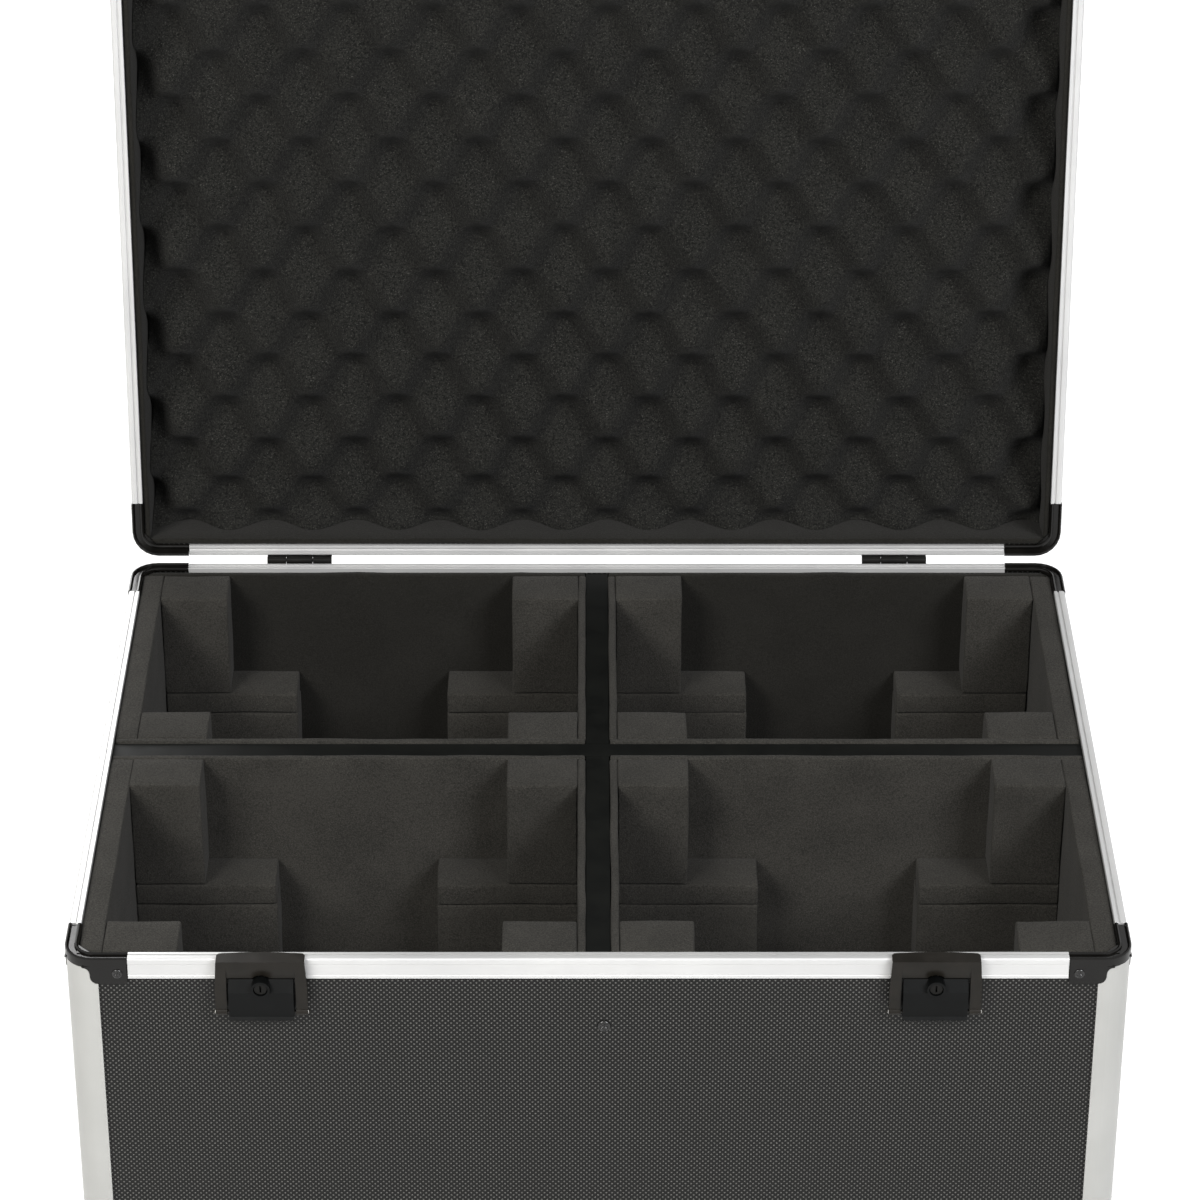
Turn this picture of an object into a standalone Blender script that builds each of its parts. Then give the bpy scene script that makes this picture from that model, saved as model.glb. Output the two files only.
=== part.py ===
"""Lighting flight case, standing open.

A lidded case for four small moving-head lights: laminated boards in an aluminium frame, black plastic
corners, two key latches at the front, two hinges at the back, a folding handle on each side, a cross of
divider boards with a stepped foam insert in each compartment, and egg-crate foam in the lid.

Frame: +X to the right, +Y to the back, +Z up, in metres. The case stands on its feet at z = 0, with the
middle of its whole footprint at the origin. Each piece is drawn where it sits with the lid shut. The lid
hangs on an empty on the hinge axis, which then turns it open.
"""

from math import ceil, cos, pi, radians, sin

import bmesh
import bpy
from mathutils import Matrix, Vector

# The case as a whole
case_width = 0.520
case_depth = 0.386
base_height = 0.300
lid_height = 0.066
foot_height = 0.008
corner_radius = 0.014
lid_open_angle = 97.4
lid_gap = 0.0008
fit_gap = 0.0003
cut_overrun = 0.002
weld_distance = 0.000003
arc_steps = 6

# Boards
panel_thickness = 0.0044
panel_inset = 0.0016
panel_reach = 0.001
floor_thickness = 0.005
divider_thickness = 0.012
divider_drop = 0.0035
cross_divider_offset = 0.002

# Aluminium rim profile, the same on the base and the lid
rim_width = 0.006
rim_height = 0.0115
rim_wall = 0.0012
rim_flange = 0.003
rim_lip = 0.0015
rim_line = 0.00025
rim_bead = 0.0031
rim_round = 0.0012
groove_at = 0.0033
groove_width = 0.00095
groove_depth = 0.0008

# Plastic corner of the rim
arm_length = 0.0309
arm_skirt = 0.005
arm_proud = 0.0004
rib_rise = 0.00025
inner_rib_width = 0.0022
outer_rib_width = 0.0019
rib_groove_depth = 0.0013
tab_width = 0.0140
tab_step = 0.0001
tab_height = 0.0145
tab_curve = 0.004
web_leg = 0.007
web_drop = 0.0006

# Aluminium edging and corner posts
edging_width = 0.016
edging_wall = 0.0013
edging_round = 0.0011
post_flange = 0.0165

# Moulded corners of the base and the lid
cap_reach = 0.038
cap_wall = 0.0016
cap_round = 0.003
foot_radius = 0.013
foot_inset = 0.021
foot_taper = 0.0015

# Foam in the compartments
foam_drop = 0.002
foam_floor = 0.010
foam_side = 0.0115
foam_wall = 0.0037
foam_divider = 0.004
insert_depth = 0.0265
insert_post = 0.037
insert_ledge = 0.074
ledge_drop = 0.0645

# Foam in the lid
lining_thickness = 0.003
lining_drop = 0.002
crate_pitch_x = 0.0469
crate_pitch_y = 0.0499
crate_first_row = 0.0058
crate_steps = 2
crate_peak_drop = 0.0240
crate_wave = 0.0145

# Hinges
hinge_inset = 0.093
hinge_width = 0.036
hinge_middle = 0.0145
hinge_height = 0.018
hinge_sheet = 0.0012
hinge_axis_out = 0.0025
pin_radius = 0.0010
pin_clearance = 0.0003
knuckle_gap = 0.0003

# Latches, measured outwards from the rim's face and up from the rim's top
latch_inset = 0.096
hasp_half_width = 0.0225
hasp_top_half_width = 0.0215
hasp_leg = 0.0057
hasp_sheet = 0.0012
hasp_front = 0.0052
hasp_lip_rise = 0.0005
hasp_lip_back = 0.0037
hasp_lip_bow = 0.0012
hasp_band = 0.0022
ramp_depth = 0.0016
ramp_height = 0.0066
ramp_clearance = 0.0009
hasp_pin_out = 0.0045
hasp_pin_down = 0.0278
hasp_pin_radius = 0.0009
hasp_eye_radius = 0.0019
hasp_nub_length = 0.0011
lever_half_width = 0.0158
lever_top = 0.0095
lever_top_out = 0.0033
lever_bend = 0.0152
lever_bend_out = 0.0072
lever_foot = 0.0295
lever_foot_out = 0.0066
lever_lip_out = 0.0012
lever_lip = 0.0014
lever_back = 0.0010
lever_wall = 0.0024
lever_pivot_out = 0.0020
lever_pivot_down = 0.0110
lever_pin_radius = 0.0008
lever_pin_length = 0.0022
lock_down = 0.0123
boss_radius = 0.0046
boss_out = 0.0088
barrel_radius = 0.0032
barrel_out = 0.0080
barrel_back = 0.0042
keyway_width = 0.0008
keyway_height = 0.0038
keyway_depth = 0.0020
plate_half_width = 0.022
plate_sheet = 0.0010
plate_foot = 0.033
ear_inner = 0.0162
ear_width = 0.0018
ear_radius = 0.0016
catch_half_width = 0.0190
catch_sheet = 0.0012
catch_front = 0.0008
catch_bar = 0.0018
notch_clearance = 0.0006
notch_rise = 0.0073

# Side handles
handle_height = 0.205
handle_plate_length = 0.116
handle_plate_height = 0.034
handle_plate_sheet = 0.002
handle_plate_round = 0.008
bearing_at = 0.042
bearing_length = 0.012
bearing_width = 0.013
bearing_out = 0.0125
handle_axis_out = 0.008
handle_wire = 0.0028
handle_drop = 0.024
handle_bend = 0.006
grip_radius = 0.0065
grip_length = 0.062
grip_round = 0.002

# Heights and lines worked out from those sizes
rim_z = foot_height + base_height
lid_rim_z = rim_z + lid_gap
lid_top_z = lid_rim_z + lid_height
half_width = case_width / 2
half_depth = case_depth / 2
inner_half_width = half_width - panel_inset - panel_thickness
inner_half_depth = half_depth - panel_inset - panel_thickness
floor_z = foot_height + edging_wall + fit_gap
floor_top_z = floor_z + floor_thickness
panel_top_z = rim_z - rim_flange - fit_gap
corner_foot = fit_gap - foam_drop
lid_board_z = lid_top_z - edging_wall - fit_gap
lid_board_foot_z = lid_board_z - panel_thickness
hinge_axis = Vector((0, half_depth + hinge_axis_out, rim_z + lid_gap / 2))
knuckle_radius = hinge_axis_out - fit_gap
catch_seat = -hasp_lip_back - fit_gap
catch_low = hasp_lip_rise - fit_gap - catch_bar

SIDES = {
    "front": (Vector((0, -1, 0)), half_depth, half_width),
    "rear": (Vector((0, 1, 0)), half_depth, half_width),
    "left": (Vector((-1, 0, 0)), half_width, half_depth),
    "right": (Vector((1, 0, 0)), half_width, half_depth),
}
CORNERS = {
    "front_left": (-1, -1, 0),
    "front_right": (1, -1, 90),
    "rear_right": (1, 1, 180),
    "rear_left": (-1, 1, 270),
}
HANDS = {"left": -1, "right": 1}


def clear_scene():
    """Remove the objects of the startup scene."""
    for obj in list(bpy.data.objects):
        bpy.data.objects.remove(obj, do_unlink=True)


def new_collection(name):
    """A collection in the scene."""
    collection = bpy.data.collections.new(name)
    bpy.context.scene.collection.children.link(collection)
    return collection


def make_material(name, colour, roughness, metallic=0.0):
    """A plain Principled material."""
    material = bpy.data.materials.new(name)
    material.use_nodes = True
    shader = material.node_tree.nodes["Principled BSDF"]
    shader.inputs["Base Color"].default_value = (*colour, 1.0)
    shader.inputs["Roughness"].default_value = roughness
    shader.inputs["Metallic"].default_value = metallic
    material.diffuse_color = (*colour, 1.0)
    return material


def make_empty(name, place, parent=None):
    """An empty at a point of the shut case."""
    empty = bpy.data.objects.new(name, None)
    empty.empty_display_size = case_width / 20
    parts.objects.link(empty)
    empty["place"] = place
    empty.location = place
    if parent:
        empty.parent = parent
        empty.location = Vector(place) - Vector(parent["place"])
    return empty


def add_part(name, mesh, material, carrier, smooth_angle=30.0):
    """A named piece whose mesh is drawn in the shut case's frame, hung on the empty that carries it."""
    mesh.name = name
    mesh.materials.clear()
    mesh.materials.append(material)
    mesh.shade_smooth()
    mesh.set_sharp_from_angle(angle=radians(smooth_angle))
    obj = bpy.data.objects.new(name, mesh)
    parts.objects.link(obj)
    obj.parent = carrier
    obj.location = -Vector(carrier["place"])
    return obj


def helper(data):
    """A hidden object that holds a mesh or a curve while a shape is worked out."""
    obj = bpy.data.objects.new("cutter", data)
    cutters.objects.link(obj)
    obj.hide_render = True
    obj.display_type = "WIRE"
    return obj


def welded(mesh):
    """A bmesh of a mesh, with points that almost touch made one and slivers closed up."""
    bm = bmesh.new()
    bm.from_mesh(mesh)
    bmesh.ops.remove_doubles(bm, verts=bm.verts[:], dist=weld_distance)
    bmesh.ops.dissolve_degenerate(bm, edges=bm.edges[:], dist=weld_distance)
    return bm


def combined(mesh, other, operation):
    """The Boolean of two meshes, as a new mesh."""
    body = helper(mesh)
    tool = helper(other)
    modifier = body.modifiers.new("combine", "BOOLEAN")
    modifier.operation = operation
    modifier.solver = "EXACT"
    modifier.object = tool
    graph = bpy.context.evaluated_depsgraph_get()
    result = bpy.data.meshes.new_from_object(body.evaluated_get(graph))
    for used in (body, tool):
        bpy.data.objects.remove(used, do_unlink=True)
    return mesh_of(welded(result))


def joined(mesh, *others):
    """The union of meshes."""
    for other in others:
        mesh = combined(mesh, other, "UNION")
    return mesh


def cut(mesh, *others):
    """A mesh with others taken out of it."""
    for other in others:
        mesh = combined(mesh, other, "DIFFERENCE")
    return mesh


def mesh_of(bm, name="shape"):
    """A mesh made from a bmesh, with its faces pointing out."""
    bmesh.ops.recalc_face_normals(bm, faces=bm.faces[:])
    mesh = bpy.data.meshes.new(name)
    bm.to_mesh(mesh)
    bm.free()
    return mesh


def placed(mesh, matrix):
    """A copy of a mesh moved by a matrix."""
    copy = mesh.copy()
    copy.transform(matrix)
    return copy


def block(low, high):
    """A box between two corners."""
    low, high = Vector(low), Vector(high)
    bm = bmesh.new()
    bmesh.ops.create_cube(bm, size=1.0)
    bmesh.ops.scale(bm, vec=high - low, verts=bm.verts[:])
    bmesh.ops.translate(bm, vec=(low + high) / 2, verts=bm.verts[:])
    return mesh_of(bm)


def rod(start, end, radius, sides, end_radius=None):
    """A cylinder or cone between two points."""
    start, end = Vector(start), Vector(end)
    run = end - start
    bm = bmesh.new()
    bmesh.ops.create_cone(
        bm,
        cap_ends=True,
        segments=sides,
        radius1=radius,
        radius2=radius if end_radius is None else end_radius,
        depth=run.length,
    )
    turn = run.to_track_quat("Z", "Y").to_matrix().to_4x4()
    bmesh.ops.transform(bm, matrix=Matrix.Translation((start + end) / 2) @ turn, verts=bm.verts[:])
    return mesh_of(bm)


def new_curve(points, dimensions, closed):
    """A curve of straight runs through points."""
    curve = bpy.data.curves.new("line", "CURVE")
    curve.dimensions = dimensions
    spline = curve.splines.new("POLY")
    spline.points.add(len(points) - 1)
    for point, place in zip(spline.points, points):
        point.co = (*place, 0, 1) if len(place) == 2 else (*place, 1)
    spline.use_cyclic_u = closed
    return curve


def curve_solid(curve):
    """A curve's solid as a bmesh, with its loose caps welded on."""
    obj = helper(curve)
    graph = bpy.context.evaluated_depsgraph_get()
    loose = bpy.data.meshes.new_from_object(obj.evaluated_get(graph))
    bpy.data.objects.remove(obj, do_unlink=True)
    return welded(loose)


def prism(outline, thickness):
    """A flat outline given thickness, centred on its plane, with each end in one face."""
    curve = new_curve(outline, "2D", True)
    curve.fill_mode = "BOTH"
    curve.extrude = thickness / 2
    bm = curve_solid(curve)
    for end in (-curve.extrude, curve.extrude):
        cap = [face for face in bm.faces if all(abs(vert.co.z - end) < weld_distance for vert in face.verts)]
        bmesh.ops.dissolve_faces(bm, faces=cap)
    return mesh_of(bm)


def upright(outline, low, high):
    """A prism standing on an outline in X and Y, from one height to another."""
    return placed(prism(outline, high - low), Matrix.Translation((0, 0, (low + high) / 2)))


def arc(centre, radius, start, end, steps):
    """Points along an arc, with the angles in degrees."""
    turns = [radians(start + (end - start) * step / steps) for step in range(steps + 1)]
    return [(centre[0] + radius * cos(turn), centre[1] + radius * sin(turn)) for turn in turns]


def rounded_rectangle(half_x, half_y, radius, steps=arc_steps, centre=(0, 0)):
    """The outline of a rectangle with round corners."""
    points = []
    for sign_x, sign_y, start in ((1, 1, 0), (-1, 1, 90), (-1, -1, 180), (1, -1, 270)):
        middle = (centre[0] + sign_x * (half_x - radius), centre[1] + sign_y * (half_y - radius))
        points += arc(middle, radius, start, start + 90, steps)
    return points


def at_height(height):
    """A test for the edges at one height, where a flat face meets the walls."""

    def wanted(edge):
        level = all(abs(vert.co.z - height) < fit_gap for vert in edge.verts)
        return level and len({abs(face.normal.z) > cos(pi / 4) for face in edge.link_faces}) == 2

    return wanted


def bevelled(mesh, wanted, width, segments):
    """A mesh with the edges that a test picks rounded off."""
    bm = bmesh.new()
    bm.from_mesh(mesh)
    bm.normal_update()
    edges = [edge for edge in bm.edges if wanted(edge)]
    bmesh.ops.bevel(bm, geom=edges, offset=width, segments=segments, profile=0.5, affect="EDGES")
    return mesh_of(bm)


def axes(across, up, along, origin):
    """The matrix that lays a flat outline's x, y and thickness along three directions from an origin."""
    matrix = Matrix((across, up, along)).transposed().to_4x4()
    return Matrix.Translation(origin) @ matrix


def side_axes(side, height, flip=1):
    """Outline x inwards from the face of a side, outline y up, or down where flip is -1."""
    outward, distance, _ = SIDES[side]
    inward = -outward
    up = Vector((0, 0, flip))
    return axes(inward, up, inward.cross(up), outward * distance + Vector((0, 0, height)))


def corner_matrix(corner, height, flip=1):
    """From a corner drawn at the origin, with X and Y running inwards, to its place on the case."""
    sign_x, sign_y, turn = CORNERS[corner]
    place = Matrix.Translation((sign_x * half_width, sign_y * half_depth, height))
    matrix = place @ Matrix.Rotation(radians(turn), 4, "Z")
    if flip < 0:
        matrix = matrix @ Matrix.Rotation(pi, 4, Vector((1, 1, 0)))
    return matrix


def rim_section():
    """The rim profile's section: x inwards from its face, y up from its top."""
    lip_top = -rim_height + rim_lip
    shoulder = arc((rim_round, -rim_round), rim_round, 180, 90, 3)
    return [
        (0, -rim_height),
        (0, lip_top),
        (rim_line, lip_top + rim_line),
        (rim_line, -rim_bead - rim_line),
        (0, -rim_bead),
        *shoulder,
        (groove_at, 0),
        (groove_at, -groove_depth),
        (groove_at + groove_width, -groove_depth),
        (groove_at + groove_width, 0),
        (rim_width, 0),
        (rim_width, -rim_flange),
        (rim_wall, -rim_flange),
        (rim_wall, -rim_height),
    ]


def corner_section():
    """The rim corner's section, with its two round ribs and the groove between them."""
    face = -arm_proud
    inner = rim_width + arm_proud
    top = rib_rise
    outer_rib = arc((face + outer_rib_width / 2, top - outer_rib_width / 2), outer_rib_width / 2, 180, 0, 4)
    inner_rib = arc((inner - inner_rib_width / 2, top - inner_rib_width / 2), inner_rib_width / 2, 180, 0, 4)
    groove_y = top - rib_groove_depth
    return [
        (face, -arm_skirt),
        *outer_rib,
        (face + outer_rib_width, groove_y),
        (inner - inner_rib_width, groove_y),
        *inner_rib,
        (inner, corner_foot),
        (rim_wall, corner_foot),
        (rim_wall, -arm_skirt),
    ]


def swept(section, path):
    """A section run along a level path: its x to the path's right, its y up."""
    profile = helper(new_curve(section, "2D", True))
    curve = new_curve(path, "3D", False)
    curve.twist_mode = "Z_UP"
    curve.bevel_mode = "OBJECT"
    curve.bevel_object = profile
    curve.use_fill_caps = True
    solid = curve_solid(curve)
    bpy.data.objects.remove(profile, do_unlink=True)
    return mesh_of(solid)


def make_tabs(spare):
    """The screw tabs under a rim corner's two arms, with a spare margin all round."""
    tip = arm_length - tab_step + spare
    end = arm_length - tab_width - spare
    foot = -tab_height - spare
    outline = [
        (tip, -arm_skirt + web_drop),
        (tip, foot),
        *arc((end, foot + tab_curve), tab_curve, 270, 180, 4),
        *arc((end - 2 * tab_curve, -arm_skirt - spare - tab_curve), tab_curve, 0, 90, 4),
        (end - 2 * tab_curve, -arm_skirt + web_drop),
    ]
    depth = rim_wall + arm_proud + 2 * (spare - tab_step)
    origin = (0, (rim_wall - arm_proud) / 2, 0)
    facing_front = axes(Vector((1, 0, 0)), Vector((0, 0, 1)), Vector((0, -1, 0)), origin)
    front = placed(prism(outline, depth), facing_front)
    side = placed(front, Matrix(((0, 1, 0, 0), (1, 0, 0, 0), (0, 0, 1, 0), (0, 0, 0, 1))))
    side.flip_normals()
    return front, side


def make_rim_corner():
    """The black corner of a rim: ribbed bar, a screw tab on each arm and a web across the inside."""
    bend_start = corner_radius + arm_proud
    bend = arc((corner_radius, corner_radius), corner_radius, 180, 270, arc_steps)
    path = [(0, arm_length), (0, bend_start), *bend, (bend_start, 0), (arm_length, 0)]
    bar = swept([(-x, y) for x, y in corner_section()], path)
    inner = rim_width + arm_proud / 2
    triangle = [(inner, inner), (inner + web_leg, inner), (inner, inner + web_leg)]
    web = upright(triangle, corner_foot + tab_step, -web_drop)
    return joined(bar, *make_tabs(0), web)


def corner_post_section():
    """A corner post's section: a round skin over the boards' ends and a core that they butt against."""
    slot = corner_radius - panel_reach - fit_gap
    core = panel_inset + panel_thickness
    return [
        (post_flange, 0),
        *arc((corner_radius, corner_radius), corner_radius, 270, 180, arc_steps),
        (0, post_flange),
        (edging_wall, post_flange),
        (edging_wall, slot),
        (core, slot),
        (core, core),
        (slot, core),
        (slot, edging_wall),
        (post_flange, edging_wall),
    ]


def make_edging(low, high):
    """A ring of angle edging, open upwards, with its outer lower edge rounded."""
    outer = upright(rounded_rectangle(half_width, half_depth, corner_radius), low, high)
    outer = bevelled(outer, at_height(low), edging_round, 2)
    inside = upright(
        rounded_rectangle(half_width - edging_wall, half_depth - edging_wall, corner_radius - edging_wall),
        low + edging_wall,
        high + cut_overrun,
    )
    window = block(
        (edging_width - half_width, edging_width - half_depth, low - cut_overrun),
        (half_width - edging_width, half_depth - edging_width, high),
    )
    return cut(outer, inside, window)


def make_cap(with_foot):
    """A moulded three-way corner: a shell over the corner, cut to round lobes, on the base with a foot."""
    proud = cap_wall + fit_gap
    reach = cap_reach + proud
    shell = upright(
        rounded_rectangle(reach, reach, corner_radius + proud, arc_steps, (reach - proud, reach - proud)),
        -proud,
        reach,
    )
    shell = bevelled(shell, at_height(-proud), cap_round, 3)
    middle = 2 * reach - fit_gap
    hollow = upright(
        rounded_rectangle(2 * reach, 2 * reach, corner_radius + fit_gap, arc_steps, (middle, middle)),
        -fit_gap,
        2 * reach,
    )
    bm = bmesh.new()
    bmesh.ops.create_uvsphere(bm, u_segments=32, v_segments=16, radius=cap_reach)
    cap = combined(cut(shell, hollow), mesh_of(bm), "INTERSECT")
    if with_foot:
        top = (foot_inset, foot_inset, -fit_gap - cap_wall / 2)
        sole = (foot_inset, foot_inset, -foot_height)
        cap = joined(cap, rod(sole, top, foot_radius - foot_taper, 20, foot_radius))
    return cap


def make_rim_bar(side, height, flip):
    """One straight length of rim between two corners."""
    _, _, half_run = SIDES[side]
    length = 2 * (half_run - arm_length - fit_gap)
    return placed(prism(rim_section(), length), side_axes(side, height, flip))


def latch_places():
    """The hand and the X of each latch."""
    return [(hand, sign * (half_width - latch_inset)) for hand, sign in HANDS.items()]


def front_point(x, out, up):
    """A point of a latch: across, outwards from the rim's face, and up from the rim's top."""
    return Vector((x, -half_depth - out, rim_z + up))


def front_block(x_range, out_range, up_range):
    """A box given in a latch's own directions."""
    low = front_point(x_range[0], out_range[1], up_range[0])
    high = front_point(x_range[1], out_range[0], up_range[1])
    return block(low, high)


def front_prism(outline, x_range):
    """An outline in a latch's outward and upward directions, given width along X."""
    middle = (x_range[0] + x_range[1]) / 2
    matrix = axes(Vector((0, -1, 0)), Vector((0, 0, 1)), Vector((-1, 0, 0)), front_point(middle, 0, 0))
    return placed(prism(outline, x_range[1] - x_range[0]), matrix)


def front_rod(x_range, out, up, radius, sides):
    """A pin along X at a point of a latch."""
    return rod(front_point(x_range[0], out, up), front_point(x_range[1], out, up), radius, sides)


def across_latch(x, half):
    """The X range of a cut behind a latch, with its clearance."""
    return (x - half - notch_clearance, x + half + notch_clearance)


def cut_for_latch(base_bar, x):
    """The base's front rim with a pocket for the keeper, and its skirt open behind the lever."""
    across = across_latch(x, catch_half_width)
    depth = -catch_seat + catch_sheet + fit_gap
    pocket = front_block(across, (-depth, cut_overrun), (catch_low - notch_clearance, cut_overrun))
    under = (-rim_height - cut_overrun, -rim_flange - fit_gap)
    window = front_block(across, (-rim_wall - fit_gap, cut_overrun), under)
    return cut(base_bar, pocket, window)


def fit_keeper(lid_bar, x):
    """The lid's front rim notched for the hasp's lip, with the keeper: a hooked strip under that lip."""
    across = (x - catch_half_width, x + catch_half_width)
    back = catch_seat - catch_sheet
    strip = front_block(across, (back, catch_seat + fit_gap), (catch_low, lid_gap + rim_flange / 2))
    notch = front_block(
        across_latch(x, hasp_half_width), (catch_seat, cut_overrun), (catch_low - cut_overrun, notch_rise)
    )
    bar = front_block(across, (back + catch_sheet / 2, -catch_front), (catch_low, catch_low + catch_bar))
    return joined(cut(joined(lid_bar, strip), notch), bar)


def make_rims():
    """The straight rim lengths of the base and the lid, the front ones fitted to the latches."""
    for side in SIDES:
        base_bar = make_rim_bar(side, rim_z, 1)
        lid_bar = make_rim_bar(side, lid_rim_z, -1)
        if side == "front":
            for _, x in latch_places():
                base_bar = cut_for_latch(base_bar, x)
                lid_bar = fit_keeper(lid_bar, x)
        add_part(f"base_rim_{side}", base_bar, aluminium, case)
        add_part(f"lid_rim_{side}", lid_bar, aluminium, lid_pivot)


def make_rim_corners():
    """The four plastic corners of each rim."""
    mesh = make_rim_corner()
    for corner in CORNERS:
        base = placed(mesh, corner_matrix(corner, rim_z))
        lid = placed(mesh, corner_matrix(corner, lid_rim_z, -1))
        add_part(f"base_rim_corner_{corner}", base, black_plastic, case)
        add_part(f"lid_rim_corner_{corner}", lid, black_plastic, lid_pivot)


def make_boards():
    """The floor, the four sides, the two dividers and the lid's shell."""
    floor_outline = rounded_rectangle(
        half_width - panel_inset, half_depth - panel_inset, corner_radius - panel_inset
    )
    add_part("floor_panel", upright(floor_outline, floor_z, floor_top_z), laminate, case)
    for side in SIDES:
        add_part(f"{side}_panel", side_board(side, floor_top_z + fit_gap, panel_top_z), laminate, case)
    roof = upright(floor_outline, lid_board_foot_z, lid_board_z)
    wall_foot = lid_rim_z + rim_flange + fit_gap
    walls = [side_board(side, wall_foot, lid_board_z - panel_thickness / 2) for side in SIDES]
    add_part("lid_shell", joined(roof, *walls), laminate, lid_pivot)


def side_board(side, low, high):
    """An upright board behind one side's face, from one height to another."""
    outward, distance, half_run = SIDES[side]
    run = half_run - corner_radius + panel_reach
    along = Vector((abs(outward.y), abs(outward.x), 0)) * run
    near = outward * (distance - panel_inset)
    far = outward * (distance - panel_inset - panel_thickness)
    points = [near + along, near - along, far + along, far - along]
    low_corner = [min(point[axis] for point in points) for axis in range(2)] + [low]
    high_corner = [max(point[axis] for point in points) for axis in range(2)] + [high]
    return block(low_corner, high_corner)


def make_dividers():
    """Two boards halved into each other: the long one from below, the cross one from above."""
    low = floor_top_z + fit_gap
    high = rim_z - divider_drop
    middle = (low + high) / 2
    half = divider_thickness / 2
    slot = half + fit_gap
    y = cross_divider_offset
    long_board = block((-half, fit_gap - inner_half_depth, low), (half, inner_half_depth - fit_gap, high))
    reach = inner_half_width - fit_gap
    cross_board = block((-reach, y - half, low), (reach, y + half, high))
    long_slot = block((-slot, y - slot, middle - fit_gap / 2), (slot, y + slot, high + cut_overrun))
    cross_slot = block((-slot, y - slot, low - cut_overrun), (slot, y + slot, middle + fit_gap / 2))
    add_part("long_divider", cut(long_board, long_slot), divider_board, case)
    add_part("cross_divider", cut(cross_board, cross_slot), divider_board, case)


def plus_outline(low, high, arm_x, arm_y):
    """A rectangle with the same block missing at each corner."""
    (x0, y0), (x1, y1) = low, high
    return [
        (x0 + arm_x, y0), (x1 - arm_x, y0), (x1 - arm_x, y0 + arm_y), (x1, y0 + arm_y),
        (x1, y1 - arm_y), (x1 - arm_x, y1 - arm_y), (x1 - arm_x, y1), (x0 + arm_x, y1),
        (x0 + arm_x, y1 - arm_y), (x0, y1 - arm_y), (x0, y0 + arm_y), (x0 + arm_x, y0 + arm_y),
    ]


def make_compartments():
    """The foam of the four compartments: floor, walls and a stepped insert in each corner."""
    half = divider_thickness / 2 + fit_gap
    low = floor_top_z + fit_gap
    high = rim_z - foam_drop
    ledge = rim_z - ledge_drop
    rows = {
        "front": (fit_gap - inner_half_depth, cross_divider_offset - half, foam_wall, foam_wall),
        "rear": (cross_divider_offset + half, inner_half_depth - fit_gap, foam_wall, foam_wall),
    }
    columns = {
        "left": (fit_gap - inner_half_width, -half, foam_side, foam_divider),
        "right": (half, inner_half_width - fit_gap, foam_divider, foam_side),
    }
    for row, (y0, y1, wall_y0, wall_y1) in rows.items():
        for column, (x0, x1, wall_x0, wall_x1) in columns.items():
            body = block((x0, y0, low), (x1, y1, high))
            inner_low = (x0 + wall_x0, y0 + wall_y0)
            inner_high = (x1 - wall_x1, y1 - wall_y1)
            upper = plus_outline(inner_low, inner_high, insert_post, insert_depth)
            seam_low = tuple(value + fit_gap for value in inner_low)
            seam_high = tuple(value - fit_gap for value in inner_high)
            lower = plus_outline(seam_low, seam_high, insert_ledge, insert_depth)
            body = cut(
                body,
                upright(upper, ledge, high + cut_overrun),
                upright(lower, low + foam_floor, ledge + cut_overrun),
            )
            add_part(f"compartment_foam_{row}_{column}", body, foam, case)


def notched_post(low, rim_top):
    """A corner post up to the rim corner's skirt, its flanges cut away round the screw tabs."""
    post = upright(corner_post_section(), low, rim_top - arm_skirt - fit_gap)
    lift = Matrix.Translation((0, 0, rim_top))
    return cut(post, *[placed(tab, lift) for tab in make_tabs(fit_gap)])


def make_frame():
    """Corner posts and edging: separate posts on the base, one riveted frame on the lid."""
    edging_top = foot_height + edging_width
    add_part("bottom_edging", make_edging(foot_height, edging_top), aluminium, case)
    tall_post = notched_post(edging_top + fit_gap, rim_z)
    for corner in CORNERS:
        add_part(f"corner_post_{corner}", placed(tall_post, corner_matrix(corner, 0)), aluminium, case)
    flip = Matrix.Translation((0, 0, lid_top_z)) @ Matrix.Rotation(pi, 4, "X")
    frame = placed(make_edging(0, edging_width), flip)
    short_post = notched_post(edging_width - cut_overrun, lid_height)
    for corner in CORNERS:
        frame = joined(frame, placed(short_post, corner_matrix(corner, lid_top_z, -1)))
    add_part("lid_edging", frame, aluminium, lid_pivot)


def make_caps():
    """The moulded corners under the base and on top of the lid."""
    footed = make_cap(True)
    plain = make_cap(False)
    for corner in CORNERS:
        low = placed(footed, corner_matrix(corner, foot_height))
        high = placed(plain, corner_matrix(corner, lid_top_z, -1))
        add_part(f"bottom_corner_{corner}", low, black_plastic, case)
        add_part(f"lid_corner_{corner}", high, black_plastic, lid_pivot)


def make_lid_lining():
    """A thin foam band round the inside of the lid's walls."""
    half_x = inner_half_width - fit_gap
    half_y = inner_half_depth - fit_gap
    low = lid_rim_z + lining_drop
    high = lid_board_foot_z - fit_gap
    ring = block((-half_x, -half_y, low), (half_x, half_y, high))
    hole_x = half_x - lining_thickness
    hole_y = half_y - lining_thickness
    hole = block((-hole_x, -hole_y, low - cut_overrun), (hole_x, hole_y, high + cut_overrun))
    add_part("lid_lining", cut(ring, hole), foam, lid_pivot)


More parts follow.
